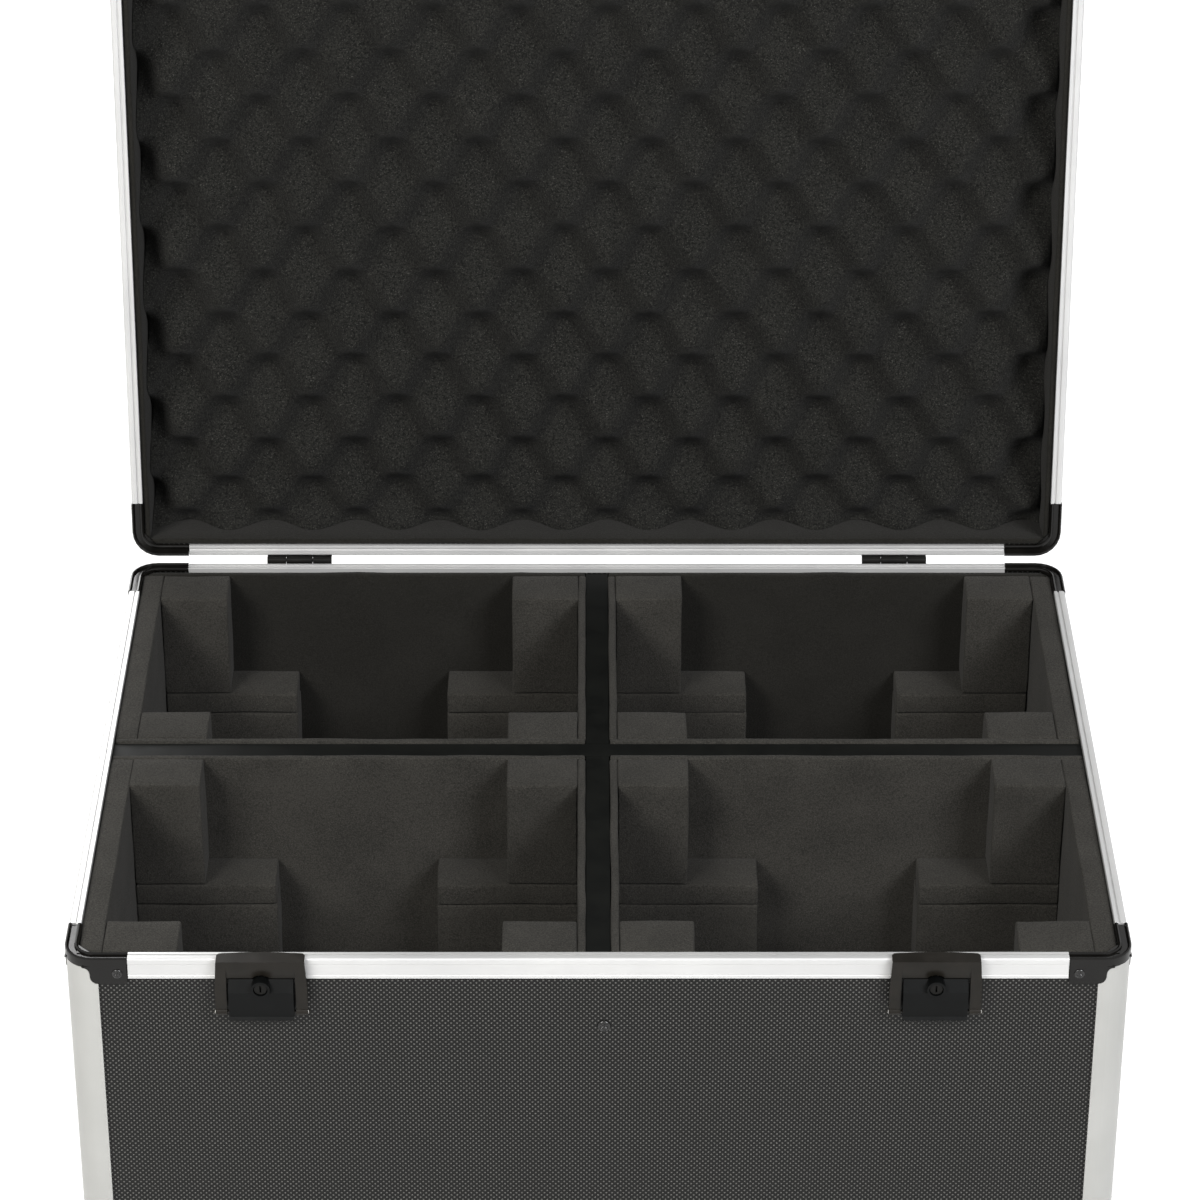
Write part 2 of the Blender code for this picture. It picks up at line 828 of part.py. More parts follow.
def make_egg_crate():
    """Egg-crate foam: a slab whose face rises to peaks and falls to hollows in staggered rows."""
    half_x = inner_half_width - lining_thickness - 2 * fit_gap
    half_y = inner_half_depth - lining_thickness - 2 * fit_gap
    back = lid_board_foot_z - fit_gap
    middle = lid_rim_z + crate_peak_drop + crate_wave / 2
    columns = round(2 * half_x / (crate_pitch_x / 2))
    step_x = 2 * half_x / columns
    step_y = crate_pitch_y / 2
    start_y = -half_y + crate_first_row - crate_pitch_y
    rows = ceil((half_y - start_y) / step_y) + 1
    bm = bmesh.new()
    bmesh.ops.create_grid(
        bm, x_segments=crate_steps * (columns + 2), y_segments=crate_steps * rows, size=1.0
    )
    for vert in bm.verts:
        across = (vert.co.x + 1) / 2 * (columns + 2) - 1
        along = (vert.co.y + 1) / 2 * rows
        height = middle + crate_wave / 2 * cos(pi * across) * cos(pi * along)
        vert.co = (across * step_x - half_x, along * step_y + start_y, height)
    rim_edges = [edge for edge in bm.edges if len(edge.link_faces) == 1]
    made = bmesh.ops.extrude_edge_only(bm, edges=rim_edges)["geom"]
    for item in made:
        if isinstance(item, bmesh.types.BMVert):
            item.co.z = back + cut_overrun
    open_edges = [edge for edge in bm.edges if len(edge.link_faces) == 1]
    bmesh.ops.contextual_create(bm, geom=open_edges)
    bmesh.ops.triangulate(bm, faces=bm.faces[:])
    slab = block((-half_x, -half_y, middle - crate_wave), (half_x, half_y, back))
    mesh = combined(slab, mesh_of(bm), "INTERSECT")
    add_part("egg_crate_foam", mesh, foam, lid_pivot, smooth_angle=80.0)


def hinge_rod(x_range, radius, sides):
    """A cylinder on the hinge axis."""
    ends = [Vector((x, hinge_axis.y, hinge_axis.z)) for x in x_range]
    return rod(ends[0], ends[1], radius, sides)


def hinge_sheet_block(x_range, low, high, seat=0.0):
    """A piece of hinge sheet behind the rear rim, or behind the board where seat is the board's inset."""
    y = half_depth + fit_gap
    return block((x_range[0], y - seat, rim_z + low), (x_range[1], y + hinge_sheet, rim_z + high))


def make_hinges():
    """Two hinges: the base leaf has the outer knuckles and the pin, the lid leaf the middle knuckle."""
    half = hinge_width / 2
    inner = hinge_middle / 2
    clear = knuckle_radius + fit_gap
    step = rim_height + fit_gap
    for hand, sign in HANDS.items():
        x = sign * (half_width - hinge_inset)
        leaf = joined(
            hinge_sheet_block((x - half, x + half), -hinge_height, -clear),
            hinge_sheet_block((x - half, x + half), -hinge_height, -step, panel_inset),
        )
        for end in (-1, 1):
            span = sorted((x + end * (inner + knuckle_gap), x + end * half))
            wrap = hinge_sheet_block(span, -clear - hinge_sheet, 0)
            leaf = joined(leaf, hinge_rod(span, knuckle_radius, 16), wrap)
        pin_reach = half - knuckle_gap
        leaf = joined(leaf, hinge_rod((x - pin_reach, x + pin_reach), pin_radius, 10))
        add_part(f"hinge_base_leaf_{hand}", leaf, black_steel, case)
        span = (x - inner, x + inner)
        lid_step = lid_gap + step
        flap = joined(
            hinge_sheet_block((x - half, x + half), clear, hinge_height),
            hinge_sheet_block((x - half, x + half), lid_step, hinge_height, panel_inset),
            hinge_rod(span, knuckle_radius, 16),
            hinge_sheet_block(span, 0, clear + hinge_sheet),
        )
        bore = hinge_rod((x - half, x + half), pin_radius + pin_clearance, 10)
        add_part(f"hinge_lid_leaf_{hand}", cut(flap, bore), black_steel, lid_pivot)


def make_latch_plate(hand, x):
    """The plate riveted to the front under the rim, with two ears for the lever's pins."""
    face = fit_gap - panel_inset
    top = -rim_height - fit_gap
    across = (x - plate_half_width, x + plate_half_width)
    plate = front_block(across, (face, face + plate_sheet), (-plate_foot, top))
    root = face + plate_sheet / 2
    outline = [
        (root, -lever_pivot_down - 2 * ear_radius),
        (lever_pivot_out, -lever_pivot_down - ear_radius),
        *arc((lever_pivot_out, -lever_pivot_down), ear_radius, -90, 90, 6)[1:],
        (fit_gap, -lever_pivot_down + ear_radius),
        (fit_gap, top - fit_gap),
        (root, top - fit_gap),
    ]
    for sign in (-1, 1):
        span = sorted((x + sign * ear_inner, x + sign * (ear_inner + ear_width)))
        run = (span[0] - cut_overrun, span[1] + cut_overrun)
        bore = front_rod(run, lever_pivot_out, -lever_pivot_down, lever_pin_radius + pin_clearance, 8)
        plate = cut(joined(plate, front_prism(outline, span)), bore)
    add_part(f"latch_plate_{hand}", plate, black_steel, case)


def make_lever(hand, x, carrier):
    """The draw lever: a bent, hollow-backed casting with side pins and the lock's round boss."""
    outline = [
        (lever_top_out, -lever_top),
        (lever_bend_out, -lever_bend),
        (lever_foot_out, -lever_foot),
        (lever_foot_out + lever_lip_out, -lever_foot - lever_lip),
        (lever_foot_out + lever_lip_out / 2, -lever_foot - 3 * lever_lip / 2),
        (lever_foot_out - lever_lip_out / 2, -lever_foot - lever_lip / 2),
        (lever_back, -lever_foot),
        (lever_back, -lever_pivot_down - 3 * ear_radius / 2),
        (lever_pivot_out - ear_radius / 4, -lever_top),
    ]
    body = front_prism(outline, (x - lever_half_width, x + lever_half_width))
    pocket = front_block(
        (x - lever_half_width + lever_wall, x + lever_half_width - lever_wall),
        (lever_back - cut_overrun, lever_foot_out - lever_wall / 2),
        (-lever_foot + lever_wall / 2, -lever_bend - lever_wall),
    )
    boss_root = front_point(x, lever_top_out, -lock_down)
    boss = rod(boss_root, front_point(x, boss_out, -lock_down), boss_radius, 24)
    body = joined(cut(body, pocket), boss)
    well = rod(
        front_point(x, barrel_back - fit_gap, -lock_down),
        front_point(x, boss_out + cut_overrun, -lock_down),
        barrel_radius + fit_gap,
        24,
    )
    body = cut(body, well)
    pin_root = lever_half_width - lever_wall
    pin_tip = lever_half_width + lever_pin_length
    hole_root = lever_half_width - lever_wall / 2
    hole_mouth = lever_half_width + cut_overrun
    for sign in (-1, 1):
        pin = sorted((x + sign * pin_root, x + sign * pin_tip))
        hole = sorted((x + sign * hole_root, x + sign * hole_mouth))
        body = joined(body, front_rod(pin, lever_pivot_out, -lever_pivot_down, lever_pin_radius, 8))
        body = cut(body, front_rod(hole, hasp_pin_out, -hasp_pin_down, hasp_pin_radius + pin_clearance, 8))
    add_part(f"latch_lever_{hand}", body, black_steel, carrier)


def face_prism(outline, x, out_range):
    """An outline in a latch's across and upward directions, given thickness outwards."""
    middle = (out_range[0] + out_range[1]) / 2
    matrix = axes(Vector((1, 0, 0)), Vector((0, 0, 1)), Vector((0, -1, 0)), front_point(x, middle, 0))
    return placed(prism(outline, out_range[1] - out_range[0]), matrix)


def hasp_lip_outline():
    """The lip seen from above: square at the fold, bowed at its back edge."""
    half = hasp_top_half_width
    corner = half - hasp_lip_bow
    return [
        (-half, hasp_sheet / 2 - hasp_front),
        (half, hasp_sheet / 2 - hasp_front),
        (half, hasp_lip_back - 2 * hasp_lip_bow),
        (corner, hasp_lip_back - hasp_lip_bow),
        (corner / 2, hasp_lip_back - hasp_lip_bow / 4),
        (0, hasp_lip_back),
        (-corner / 2, hasp_lip_back - hasp_lip_bow / 4),
        (-corner, hasp_lip_back - hasp_lip_bow),
        (-half, hasp_lip_back - 2 * hasp_lip_bow),
    ]


def make_hasp(hand, x, carrier):
    """The inverted-U hasp: two legs with pin eyes, a pressed ramp between them and a lip over the rim."""
    back = hasp_front - hasp_sheet
    top = hasp_lip_rise + hasp_sheet
    inner = hasp_half_width - hasp_leg
    face = face_prism(
        [
            (-hasp_half_width, -hasp_pin_down),
            (-inner, -hasp_pin_down),
            (-inner, -hasp_band),
            (inner, -hasp_band),
            (inner, -hasp_pin_down),
            (hasp_half_width, -hasp_pin_down),
            (hasp_half_width, -hasp_pin_down / 2),
            (hasp_top_half_width, top),
            (-hasp_top_half_width, top),
            (-hasp_half_width, -hasp_pin_down / 2),
        ],
        x,
        (back, hasp_front),
    )
    lip = upright(hasp_lip_outline(), rim_z + hasp_lip_rise, rim_z + top)
    lip = placed(lip, Matrix.Translation((x, -half_depth, 0)))
    ramp_foot = -hasp_band - ramp_height
    ramp = front_prism(
        [
            (hasp_front, -hasp_band),
            (hasp_front - ramp_depth, ramp_foot),
            (back - ramp_depth, ramp_foot),
            (back, -hasp_band),
            (back, -hasp_band + hasp_sheet),
            (hasp_front, -hasp_band + hasp_sheet),
        ],
        (x - inner - hasp_sheet / 2, x + inner + hasp_sheet / 2),
    )
    recess = rod(
        front_point(x, 0, -lock_down), front_point(x, boss_out, -lock_down), boss_radius + ramp_clearance, 24
    )
    hasp = joined(face, lip, cut(ramp, recess))
    for sign in (-1, 1):
        leg = sorted((x + sign * inner, x + sign * hasp_half_width))
        nub = sorted((x + sign * (inner - hasp_leg / 3), x + sign * (hasp_half_width + hasp_nub_length)))
        hasp = joined(
            hasp,
            front_rod(leg, hasp_pin_out, -hasp_pin_down, hasp_eye_radius, 12),
            front_rod(nub, hasp_pin_out, -hasp_pin_down, hasp_pin_radius, 8),
        )
    add_part(f"latch_hasp_{hand}", hasp, black_steel, carrier)


def make_barrel(hand, x, carrier):
    """The lock's turning barrel, with its keyway."""
    plug = rod(
        front_point(x, barrel_back, -lock_down), front_point(x, barrel_out, -lock_down), barrel_radius, 20
    )
    keyway = front_block(
        (x - keyway_width / 2, x + keyway_width / 2),
        (barrel_out - keyway_depth, barrel_out + cut_overrun),
        (-lock_down - keyway_height / 2, -lock_down + keyway_height / 2),
    )
    add_part(f"lock_barrel_{hand}", cut(plug, keyway), black_steel, carrier)


def make_latches():
    """Both key latches, each on its own pivots."""
    for hand, x in latch_places():
        lever_place = front_point(x, lever_pivot_out, -lever_pivot_down)
        hasp_place = front_point(x, hasp_pin_out, -hasp_pin_down)
        lock_place = front_point(x, barrel_out, -lock_down)
        lever_pivot = make_empty(f"lever_pivot_{hand}", lever_place, case)
        hasp_pivot = make_empty(f"hasp_pivot_{hand}", hasp_place, lever_pivot)
        lock_pivot = make_empty(f"lock_pivot_{hand}", lock_place, lever_pivot)
        make_latch_plate(hand, x)
        make_lever(hand, x, lever_pivot)
        make_hasp(hand, x, hasp_pivot)
        make_barrel(hand, x, lock_pivot)


def across_y(edge):
    """Whether an edge runs round a bar that lies along Y."""
    start, end = edge.verts
    return abs(start.co.y - end.co.y) < fit_gap


def handle_wire_path(axis_x, sign):
    """The bent wire's middle line: out of one bearing, down, across and up into the other."""
    end = bearing_at + bearing_length - handle_wire
    leg = bearing_at - fit_gap - handle_bend
    right = [
        (end, 0),
        *arc((leg + handle_bend, -handle_bend), handle_bend, 90, 180, 4),
        *arc((leg - handle_bend, handle_bend - handle_drop), handle_bend, 0, -90, 4),
    ]
    left = [(-y, z) for y, z in reversed(right)]
    return [(sign * axis_x, y, handle_height + z) for y, z in right + left]


def tube(points, radius):
    """A round bar along points."""
    curve = new_curve(points, "3D", False)
    curve.bevel_depth = radius
    curve.bevel_resolution = 2
    curve.use_fill_caps = True
    return mesh_of(curve_solid(curve))


def make_handles():
    """A folding handle on each side: a plate with two bearings, and a bent wire with a moulded grip."""
    seat = half_width - panel_inset + fit_gap
    plate_face = seat + handle_plate_sheet
    axis_x = plate_face + handle_axis_out
    for hand, sign in HANDS.items():
        handle_pivot = make_empty(f"handle_pivot_{hand}", (sign * axis_x, 0, handle_height), case)
        outline = rounded_rectangle(handle_plate_length / 2, handle_plate_height / 2, handle_plate_round, 3)
        middle = (sign * (seat + handle_plate_sheet / 2), 0, handle_height)
        matrix = axes(Vector((0, 1, 0)), Vector((0, 0, 1)), Vector((1, 0, 0)), middle)
        plate = placed(prism(outline, handle_plate_sheet), matrix)
        x_near, x_far = sorted((sign * (plate_face - handle_plate_sheet / 2), sign * (seat + bearing_out)))
        foot, top = (handle_height - bearing_width / 2, handle_height + bearing_width / 2)
        for end in (-1, 1):
            near, far = sorted((end * bearing_at, end * (bearing_at + bearing_length)))
            plate = joined(plate, block((x_near, near, foot), (x_far, far, top)))
        bore_half = bearing_at + bearing_length + cut_overrun
        bore = rod(
            (sign * axis_x, -bore_half, handle_height),
            (sign * axis_x, bore_half, handle_height),
            handle_wire + pin_clearance,
            16,
        )
        add_part(f"handle_plate_{hand}", cut(plate, bore), black_steel, case)
        grip_z = handle_height - handle_drop
        grip_end = grip_length / 2
        grip = rod((sign * axis_x, -grip_end, grip_z), (sign * axis_x, grip_end, grip_z), grip_radius, 16)
        grip = bevelled(grip, across_y, grip_round, 2)
        wire = tube(handle_wire_path(axis_x, sign), handle_wire)
        add_part(f"handle_grip_{hand}", joined(wire, grip), black_plastic, handle_pivot)


def stand_on_origin():
    """Turn the lid open, then move the case so that the middle of its footprint is at the origin."""
    lid_pivot.rotation_euler.x = -radians(lid_open_angle)
    bpy.context.view_layer.update()
    graph = bpy.context.evaluated_depsgraph_get()
    depths = []
    for obj in parts.objects:
        if obj.type == "MESH":
            shown = obj.evaluated_get(graph)
            depths += [(shown.matrix_world @ vert.co).y for vert in shown.data.vertices]
    case.location.y = -(min(depths) + max(depths)) / 2
    bpy.context.view_layer.update()


def print_places():
    """Print each joint's point, for whoever writes the part's record."""
    for obj in parts.objects:
        if obj.type == "EMPTY":
            print(obj.name, [round(value, 6) for value in obj.matrix_world.translation])


clear_scene()
parts = new_collection("lighting_flight_case")
cutters = new_collection("cutters")
laminate = make_material("dotted_laminate", (0.028, 0.028, 0.030), 0.45)
divider_board = make_material("divider_board", (0.016, 0.018, 0.019), 0.40)
aluminium = make_material("satin_aluminium", (0.78, 0.78, 0.77), 0.35, 1.0)
black_plastic = make_material("black_plastic", (0.030, 0.029, 0.027), 0.45)
black_steel = make_material("black_steel", (0.032, 0.030, 0.028), 0.40, 0.3)
foam = make_material("dark_foam", (0.050, 0.048, 0.045), 0.95)

case = make_empty("case", (0, 0, 0))
lid_pivot = make_empty("lid_pivot", hinge_axis, case)
make_boards()
make_frame()
make_rims()
make_rim_corners()
make_caps()
make_dividers()
make_compartments()
make_lid_lining()
make_egg_crate()
make_hinges()
make_latches()
make_handles()
stand_on_origin()
print_places()
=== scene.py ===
"""Lighting flight case standing open: materials, foam, fittings, camera and light."""

from itertools import product
from math import cos, exp, pi, radians

import bmesh
import bpy
from mathutils import Matrix, Vector, noise


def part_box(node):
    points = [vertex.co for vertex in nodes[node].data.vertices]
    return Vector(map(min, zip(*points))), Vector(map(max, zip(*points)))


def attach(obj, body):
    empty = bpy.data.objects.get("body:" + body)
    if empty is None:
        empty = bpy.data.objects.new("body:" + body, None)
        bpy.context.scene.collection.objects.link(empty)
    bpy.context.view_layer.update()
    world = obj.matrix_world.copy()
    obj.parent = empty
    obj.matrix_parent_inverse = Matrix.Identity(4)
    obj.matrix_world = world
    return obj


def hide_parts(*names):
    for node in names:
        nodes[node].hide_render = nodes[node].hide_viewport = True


MM = 0.001

# The case's sizes that the pieces here take up again
CASE_WIDTH = 520 * MM
CASE_DEPTH = 386 * MM
FOOT_HEIGHT = 8 * MM
BASE_HEIGHT = 300 * MM
LID_HEIGHT = 66 * MM
LID_GAP = 0.8 * MM
LID_OPEN = radians(97.4)
HINGE_OUT = 2.5 * MM
PANEL_INSET = 1.6 * MM
PANEL_THICKNESS = 4.4 * MM
EDGING_THICKNESS = 1.3 * MM
FIT_GAP = 0.3 * MM

# Foam blocks and sheets
FOAM_FLOOR = 10 * MM
FOAM_WALL = 3.7 * MM
FOAM_SIDE = 11.5 * MM
FOAM_DIVIDER = 4 * MM
POST_WIDTH = 37 * MM
LEDGE_WIDTH = 74 * MM
INSERT_DEPTH = 26.5 * MM
LEDGE_DROP = 62.5 * MM
LEDGE_SHEET = 12 * MM
FOAM_SEAM = 0.5 * MM
LINING = 3 * MM
LINING_DROP = 2 * MM

# A block of foam that is cut isn't a true box: each of its waves is a length and a height
BLOCK_ROUND = 1.0 * MM
BLOCK_MESH = 9 * MM
BLOCK_SLOW = (26 * MM, 0.45 * MM)
BLOCK_FINE = (7 * MM, 0.16 * MM)
BLOCK_SHRINK = 0.55 * MM

# The blocks' waves start from this seed, because they would otherwise differ from run to run
BLOCK_SEED = 5

# Egg-crate foam: steps across and along, and the first peak's distance from the left and front edges
CRATE_PITCH = (47.3 * MM, 49.9 * MM)
CRATE_FIRST = (-4.2 * MM, 1.5 * MM)
CRATE_WAVE = 23 * MM
CRATE_PEAK_DROP = 15 * MM
CRATE_DROOP = 5 * MM
CRATE_MESH = 1.7 * MM

# By the hinges the last row is pressed together, and its wave is lower
CRATE_SQUEEZE = 9 * MM
CRATE_SQUEEZE_REACH = 14 * MM
CRATE_EDGE_HOLD = 0.3

# Its rows wander over a length by a share of half a step, and its skin is uneven by a length and a height
CRATE_WANDER = (90 * MM, 0.06)
CRATE_FINE = (6 * MM, 0.3 * MM)

# Latches
LATCH_INSET = 96 * MM
HASP_HALF_WIDTH = 22.5 * MM
HASP_PIN_OUT = 4.5 * MM
HASP_PIN_DOWN = 27.8 * MM

# Places of screws and rivets
TAB_SCREW_IN = 26 * MM
TAB_SCREW_DROP = 8.5 * MM
BOARD_SCREW_X = 2.8 * MM
BOARD_SCREW_DROP = 41 * MM
HINGE_INSET = 93 * MM
HINGE_RIVET_STEP = 11 * MM
HINGE_RIVET_DROP = 15 * MM
HARDWARE_SHEET = 1.5 * MM
HANDLE_RIVET_IN = (9 * MM, 7 * MM)

# Radius and height of each kind of head
TAB_SCREW = (2.7 * MM, 1.1 * MM)
BOARD_SCREW = (3.4 * MM, 1.6 * MM)
HINGE_RIVET = (2 * MM, 0.8 * MM)
HASP_PIN_END = (1.2 * MM, 0.7 * MM)
HANDLE_RIVET = (2.6 * MM, 1.1 * MM)

# A cross drive: half its arm's width and its reach as shares of the radius, its depth as one of the height
CROSS_ARM = 0.16
CROSS_REACH = 0.62
CROSS_DEPTH = 0.7

# Rounds of edges
POST_ROUND = 0.15 * MM
SHEET_ROUND = 0.2 * MM
RIM_CORNER_ROUND = 0.25 * MM
CORNER_ROUND = 0.3 * MM
LATCH_ROUND = 0.3 * MM
BARREL_ROUND = 0.15 * MM
HANDLE_PLATE_ROUND = 0.4 * MM

# Points nearer than the weld become one, and faces that bend less than the flat angle become one face.
# Edges are rounded from the first angle on, and stay sharp from the other two on.
WELD = 0.002 * MM
FLAT = radians(0.5)
ROUNDED_ANGLE = radians(30)
SHARP_ANGLE = radians(50)
FOAM_SHARP_ANGLE = radians(70)

# Dotted laminate: the dots' spacing along their diagonal rows, their radius and how far they stand out
DOT_PITCH = 2.0 * MM
DOT_RADIUS = 0.45 * MM
DOT_RISE = 0.12 * MM

# Scales and depths of the finishes
LAMINATE_WEAR = 30 * MM
LAMINATE_GRAIN = 0.25 * MM
DRAW_LINE = 0.35 * MM
DRAW_LENGTH = 60
DRAW_DEPTH = 0.01 * MM
ANODISING_CLOUD = 45 * MM
MOULD_SKIN = 0.35 * MM
MOULD_FLOW = 12 * MM
MOULD_DEPTH = 0.02 * MM
PAINT_PEEL = 0.9 * MM
PAINT_WEAR = 9 * MM
PAINT_DEPTH = 0.02 * MM
ZINC_CLOUD = 1.5 * MM
BOARD_GRAIN = 0.4 * MM
BOARD_SCUFF = 18 * MM
BOARD_DEPTH = 0.03 * MM
FOAM_CLOUD = 28 * MM
EVA_CELL = 0.6 * MM
CRATE_CELL = 0.85 * MM
CELL_DEPTH = 0.4 * MM
FLOOR_CLOUD = 900 * MM

# Light: each lamp's place and side in metres, its power in watts and its colour
FLOOR_GLOW = 0.66
WORLD_LIGHT = 0.13
WHITE = "#FFFFFF"
LAMP_AIM = (0, 0, 0.3)
LAMPS = {
    "left": ((-1.6, -2.2, 2.35), 1.2, 84, "#FFFDF9"),
    "right": ((1.7, -2.0, 2.2), 1.2, 78, "#FBFCFF"),
    "rear": ((-0.9, 2.7, 1.7), 1.6, 60, WHITE),
}

# Half the floor's side, in metres
FLOOR_HALF = 12

# Camera: it stands in front of the case and looks down on it
CAMERA_X = -6 * MM
CAMERA_OUT = 1931.4 * MM
CAMERA_UP = 1220.3 * MM
CAMERA_PITCH = radians(30.361)
CAMERA_YAW = -0.00369
CAMERA_ROLL = 0.00193
CAMERA_REACH = 50
LENS = 130.86
SENSOR = 36.0

# Kinds of shader node that come up often
MATH = "ShaderNodeMath"
BLEND = "ShaderNodeMix"
RANGE = "ShaderNodeMapRange"
NOISE = "ShaderNodeTexNoise"
BUMP = "ShaderNodeBump"
MAPPING = "ShaderNodeMapping"
SHADER = "ShaderNodeBsdfPrincipled"
OUTPUT = "ShaderNodeOutputMaterial"

HANDS = {"left": -1, "right": 1}

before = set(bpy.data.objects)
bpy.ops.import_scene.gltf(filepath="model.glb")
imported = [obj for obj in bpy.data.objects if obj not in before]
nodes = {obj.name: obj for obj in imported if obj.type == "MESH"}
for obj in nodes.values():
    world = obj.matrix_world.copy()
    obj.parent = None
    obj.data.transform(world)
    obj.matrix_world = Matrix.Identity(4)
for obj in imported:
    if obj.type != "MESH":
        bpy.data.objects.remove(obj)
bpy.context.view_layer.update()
case_middle = (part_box("front_panel")[0].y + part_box("rear_panel")[1].y) / 2
rim_z = FOOT_HEIGHT + BASE_HEIGHT
lid_rim_z = rim_z + LID_GAP
lid_back_z = lid_rim_z + LID_HEIGHT - EDGING_THICKNESS - PANEL_THICKNESS - 2 * FIT_GAP
half_width = CASE_WIDTH / 2
half_depth = CASE_DEPTH / 2
hinge_point = Vector((0, case_middle + half_depth + HINGE_OUT, rim_z + LID_GAP / 2))

# A point of the shut lid goes to its place on the open lid
to_open = (
    Matrix.Translation(hinge_point) @ Matrix.Rotation(-LID_OPEN, 4, "X") @ Matrix.Translation(-hinge_point)
)


def hex_colour(code):
    """A hex sRGB colour as the linear colour that a shader takes."""
    channels = [int(code[start : start + 2], 16) / 255 for start in (1, 3, 5)]
    linear = [c / 12.92 if c <= 0.04045 else ((c + 0.055) / 1.055) ** 2.4 for c in channels]
    return (*linear, 1.0)


def add_node(tree, kind, inputs, **settings):
    """A shader node with its settings, where each input is a value, or the node or socket that feeds it."""
    made = tree.nodes.new(kind)
    for name, value in settings.items():
        setattr(made, name, value)
    for name, value in inputs.items():
        if isinstance(value, bpy.types.Node):
            value = value.outputs[0]
        if isinstance(value, bpy.types.NodeSocket):
            tree.links.new(value, made.inputs[name])
        else:
            made.inputs[name].default_value = value
    return made


def start_material(name):
    """A new material with an empty node tree, and the object's own coordinates to draw it in."""
    material = bpy.data.materials.new(name)
    material.use_nodes = True
    tree = material.node_tree
    tree.nodes.clear()
    place = add_node(tree, "ShaderNodeTexCoord", {}).outputs["Object"]
    return material, tree, place


def make_laminate(name, on_lid):
    """Phenolic laminate pressed with a diagonal grid of dots.

    The ground is near black and dull, and the raised dots are pale, and paler still where they aren't worn.
    Its grain is drawn coarser than the real one, so that it shows.
    """
    material, tree, place = start_material(name)
    turn = (LID_OPEN, 0, 0) if on_lid else (0, 0, 0)
    flat = add_node(tree, MAPPING, {"Vector": place, "Rotation": turn})
    facing = add_node(tree, "ShaderNodeTexCoord", {}).outputs["Normal"]
    facing = add_node(tree, MAPPING, {"Vector": facing, "Rotation": turn})
    parts = add_node(tree, "ShaderNodeSeparateXYZ", {"Vector": flat}).outputs
    sides = add_node(tree, "ShaderNodeSeparateXYZ", {"Vector": facing}).outputs

    # On each board the grid runs along that board's own two axes
    rows = []
    for axis in (0, 2):
        faced = add_node(tree, MATH, {0: sides[axis]}, operation="ABSOLUTE")
        faced = add_node(tree, MATH, {0: faced, 1: 0.7}, operation="GREATER_THAN")
        rows.append(add_node(tree, BLEND, {0: faced, 2: parts[axis], 3: parts[1]}))
    squares = []
    for sign in (1, -1):
        line = add_node(tree, MATH, {0: rows[1], 1: sign, 2: rows[0]}, operation="MULTIPLY_ADD")
        line = add_node(tree, MATH, {0: line, 1: DOT_PITCH * 2**0.5}, operation="DIVIDE")
        cell = add_node(tree, MATH, {0: line}, operation="FRACT")
        offset = add_node(tree, MATH, {0: cell, 1: 0.5}, operation="SUBTRACT")
        squares.append(add_node(tree, MATH, {0: offset, 1: 2}, operation="POWER"))
    radius = add_node(tree, MATH, {0: squares[0], 1: squares[1]}, operation="ADD")
    radius = add_node(tree, MATH, {0: radius}, operation="SQRT")
    edge = DOT_RADIUS / DOT_PITCH
    dot = add_node(tree, RANGE, {0: radius, 1: edge * 1.35, 2: edge * 0.35})

    mottle = add_node(tree, NOISE, {"Vector": place, "Scale": 1 / LAMINATE_WEAR, "Detail": 5})
    wear = add_node(tree, RANGE, {0: mottle, 1: 0.35, 2: 0.65, 3: 0.9})
    paleness = add_node(tree, MATH, {0: dot, 1: wear}, operation="MULTIPLY")
    colours = {0: paleness, 6: hex_colour("#0D0D0C"), 7: hex_colour("#6E6D6A")}
    colour = add_node(tree, BLEND, colours, data_type="RGBA").outputs[2]
    grain = add_node(tree, NOISE, {"Vector": place, "Scale": 1 / LAMINATE_GRAIN, "Detail": 2})
    rough = add_node(tree, RANGE, {0: grain, 1: 0.2, 2: 0.8, 3: 0.36, 4: 0.5})
    raised = add_node(tree, BUMP, {"Height": dot, "Distance": DOT_RISE, "Strength": 0.7})
    look = {"Base Color": colour, "Roughness": rough, "Specular IOR Level": 0.2, "Normal": raised}
    add_node(tree, OUTPUT, {"Surface": add_node(tree, SHADER, look)})
    return material


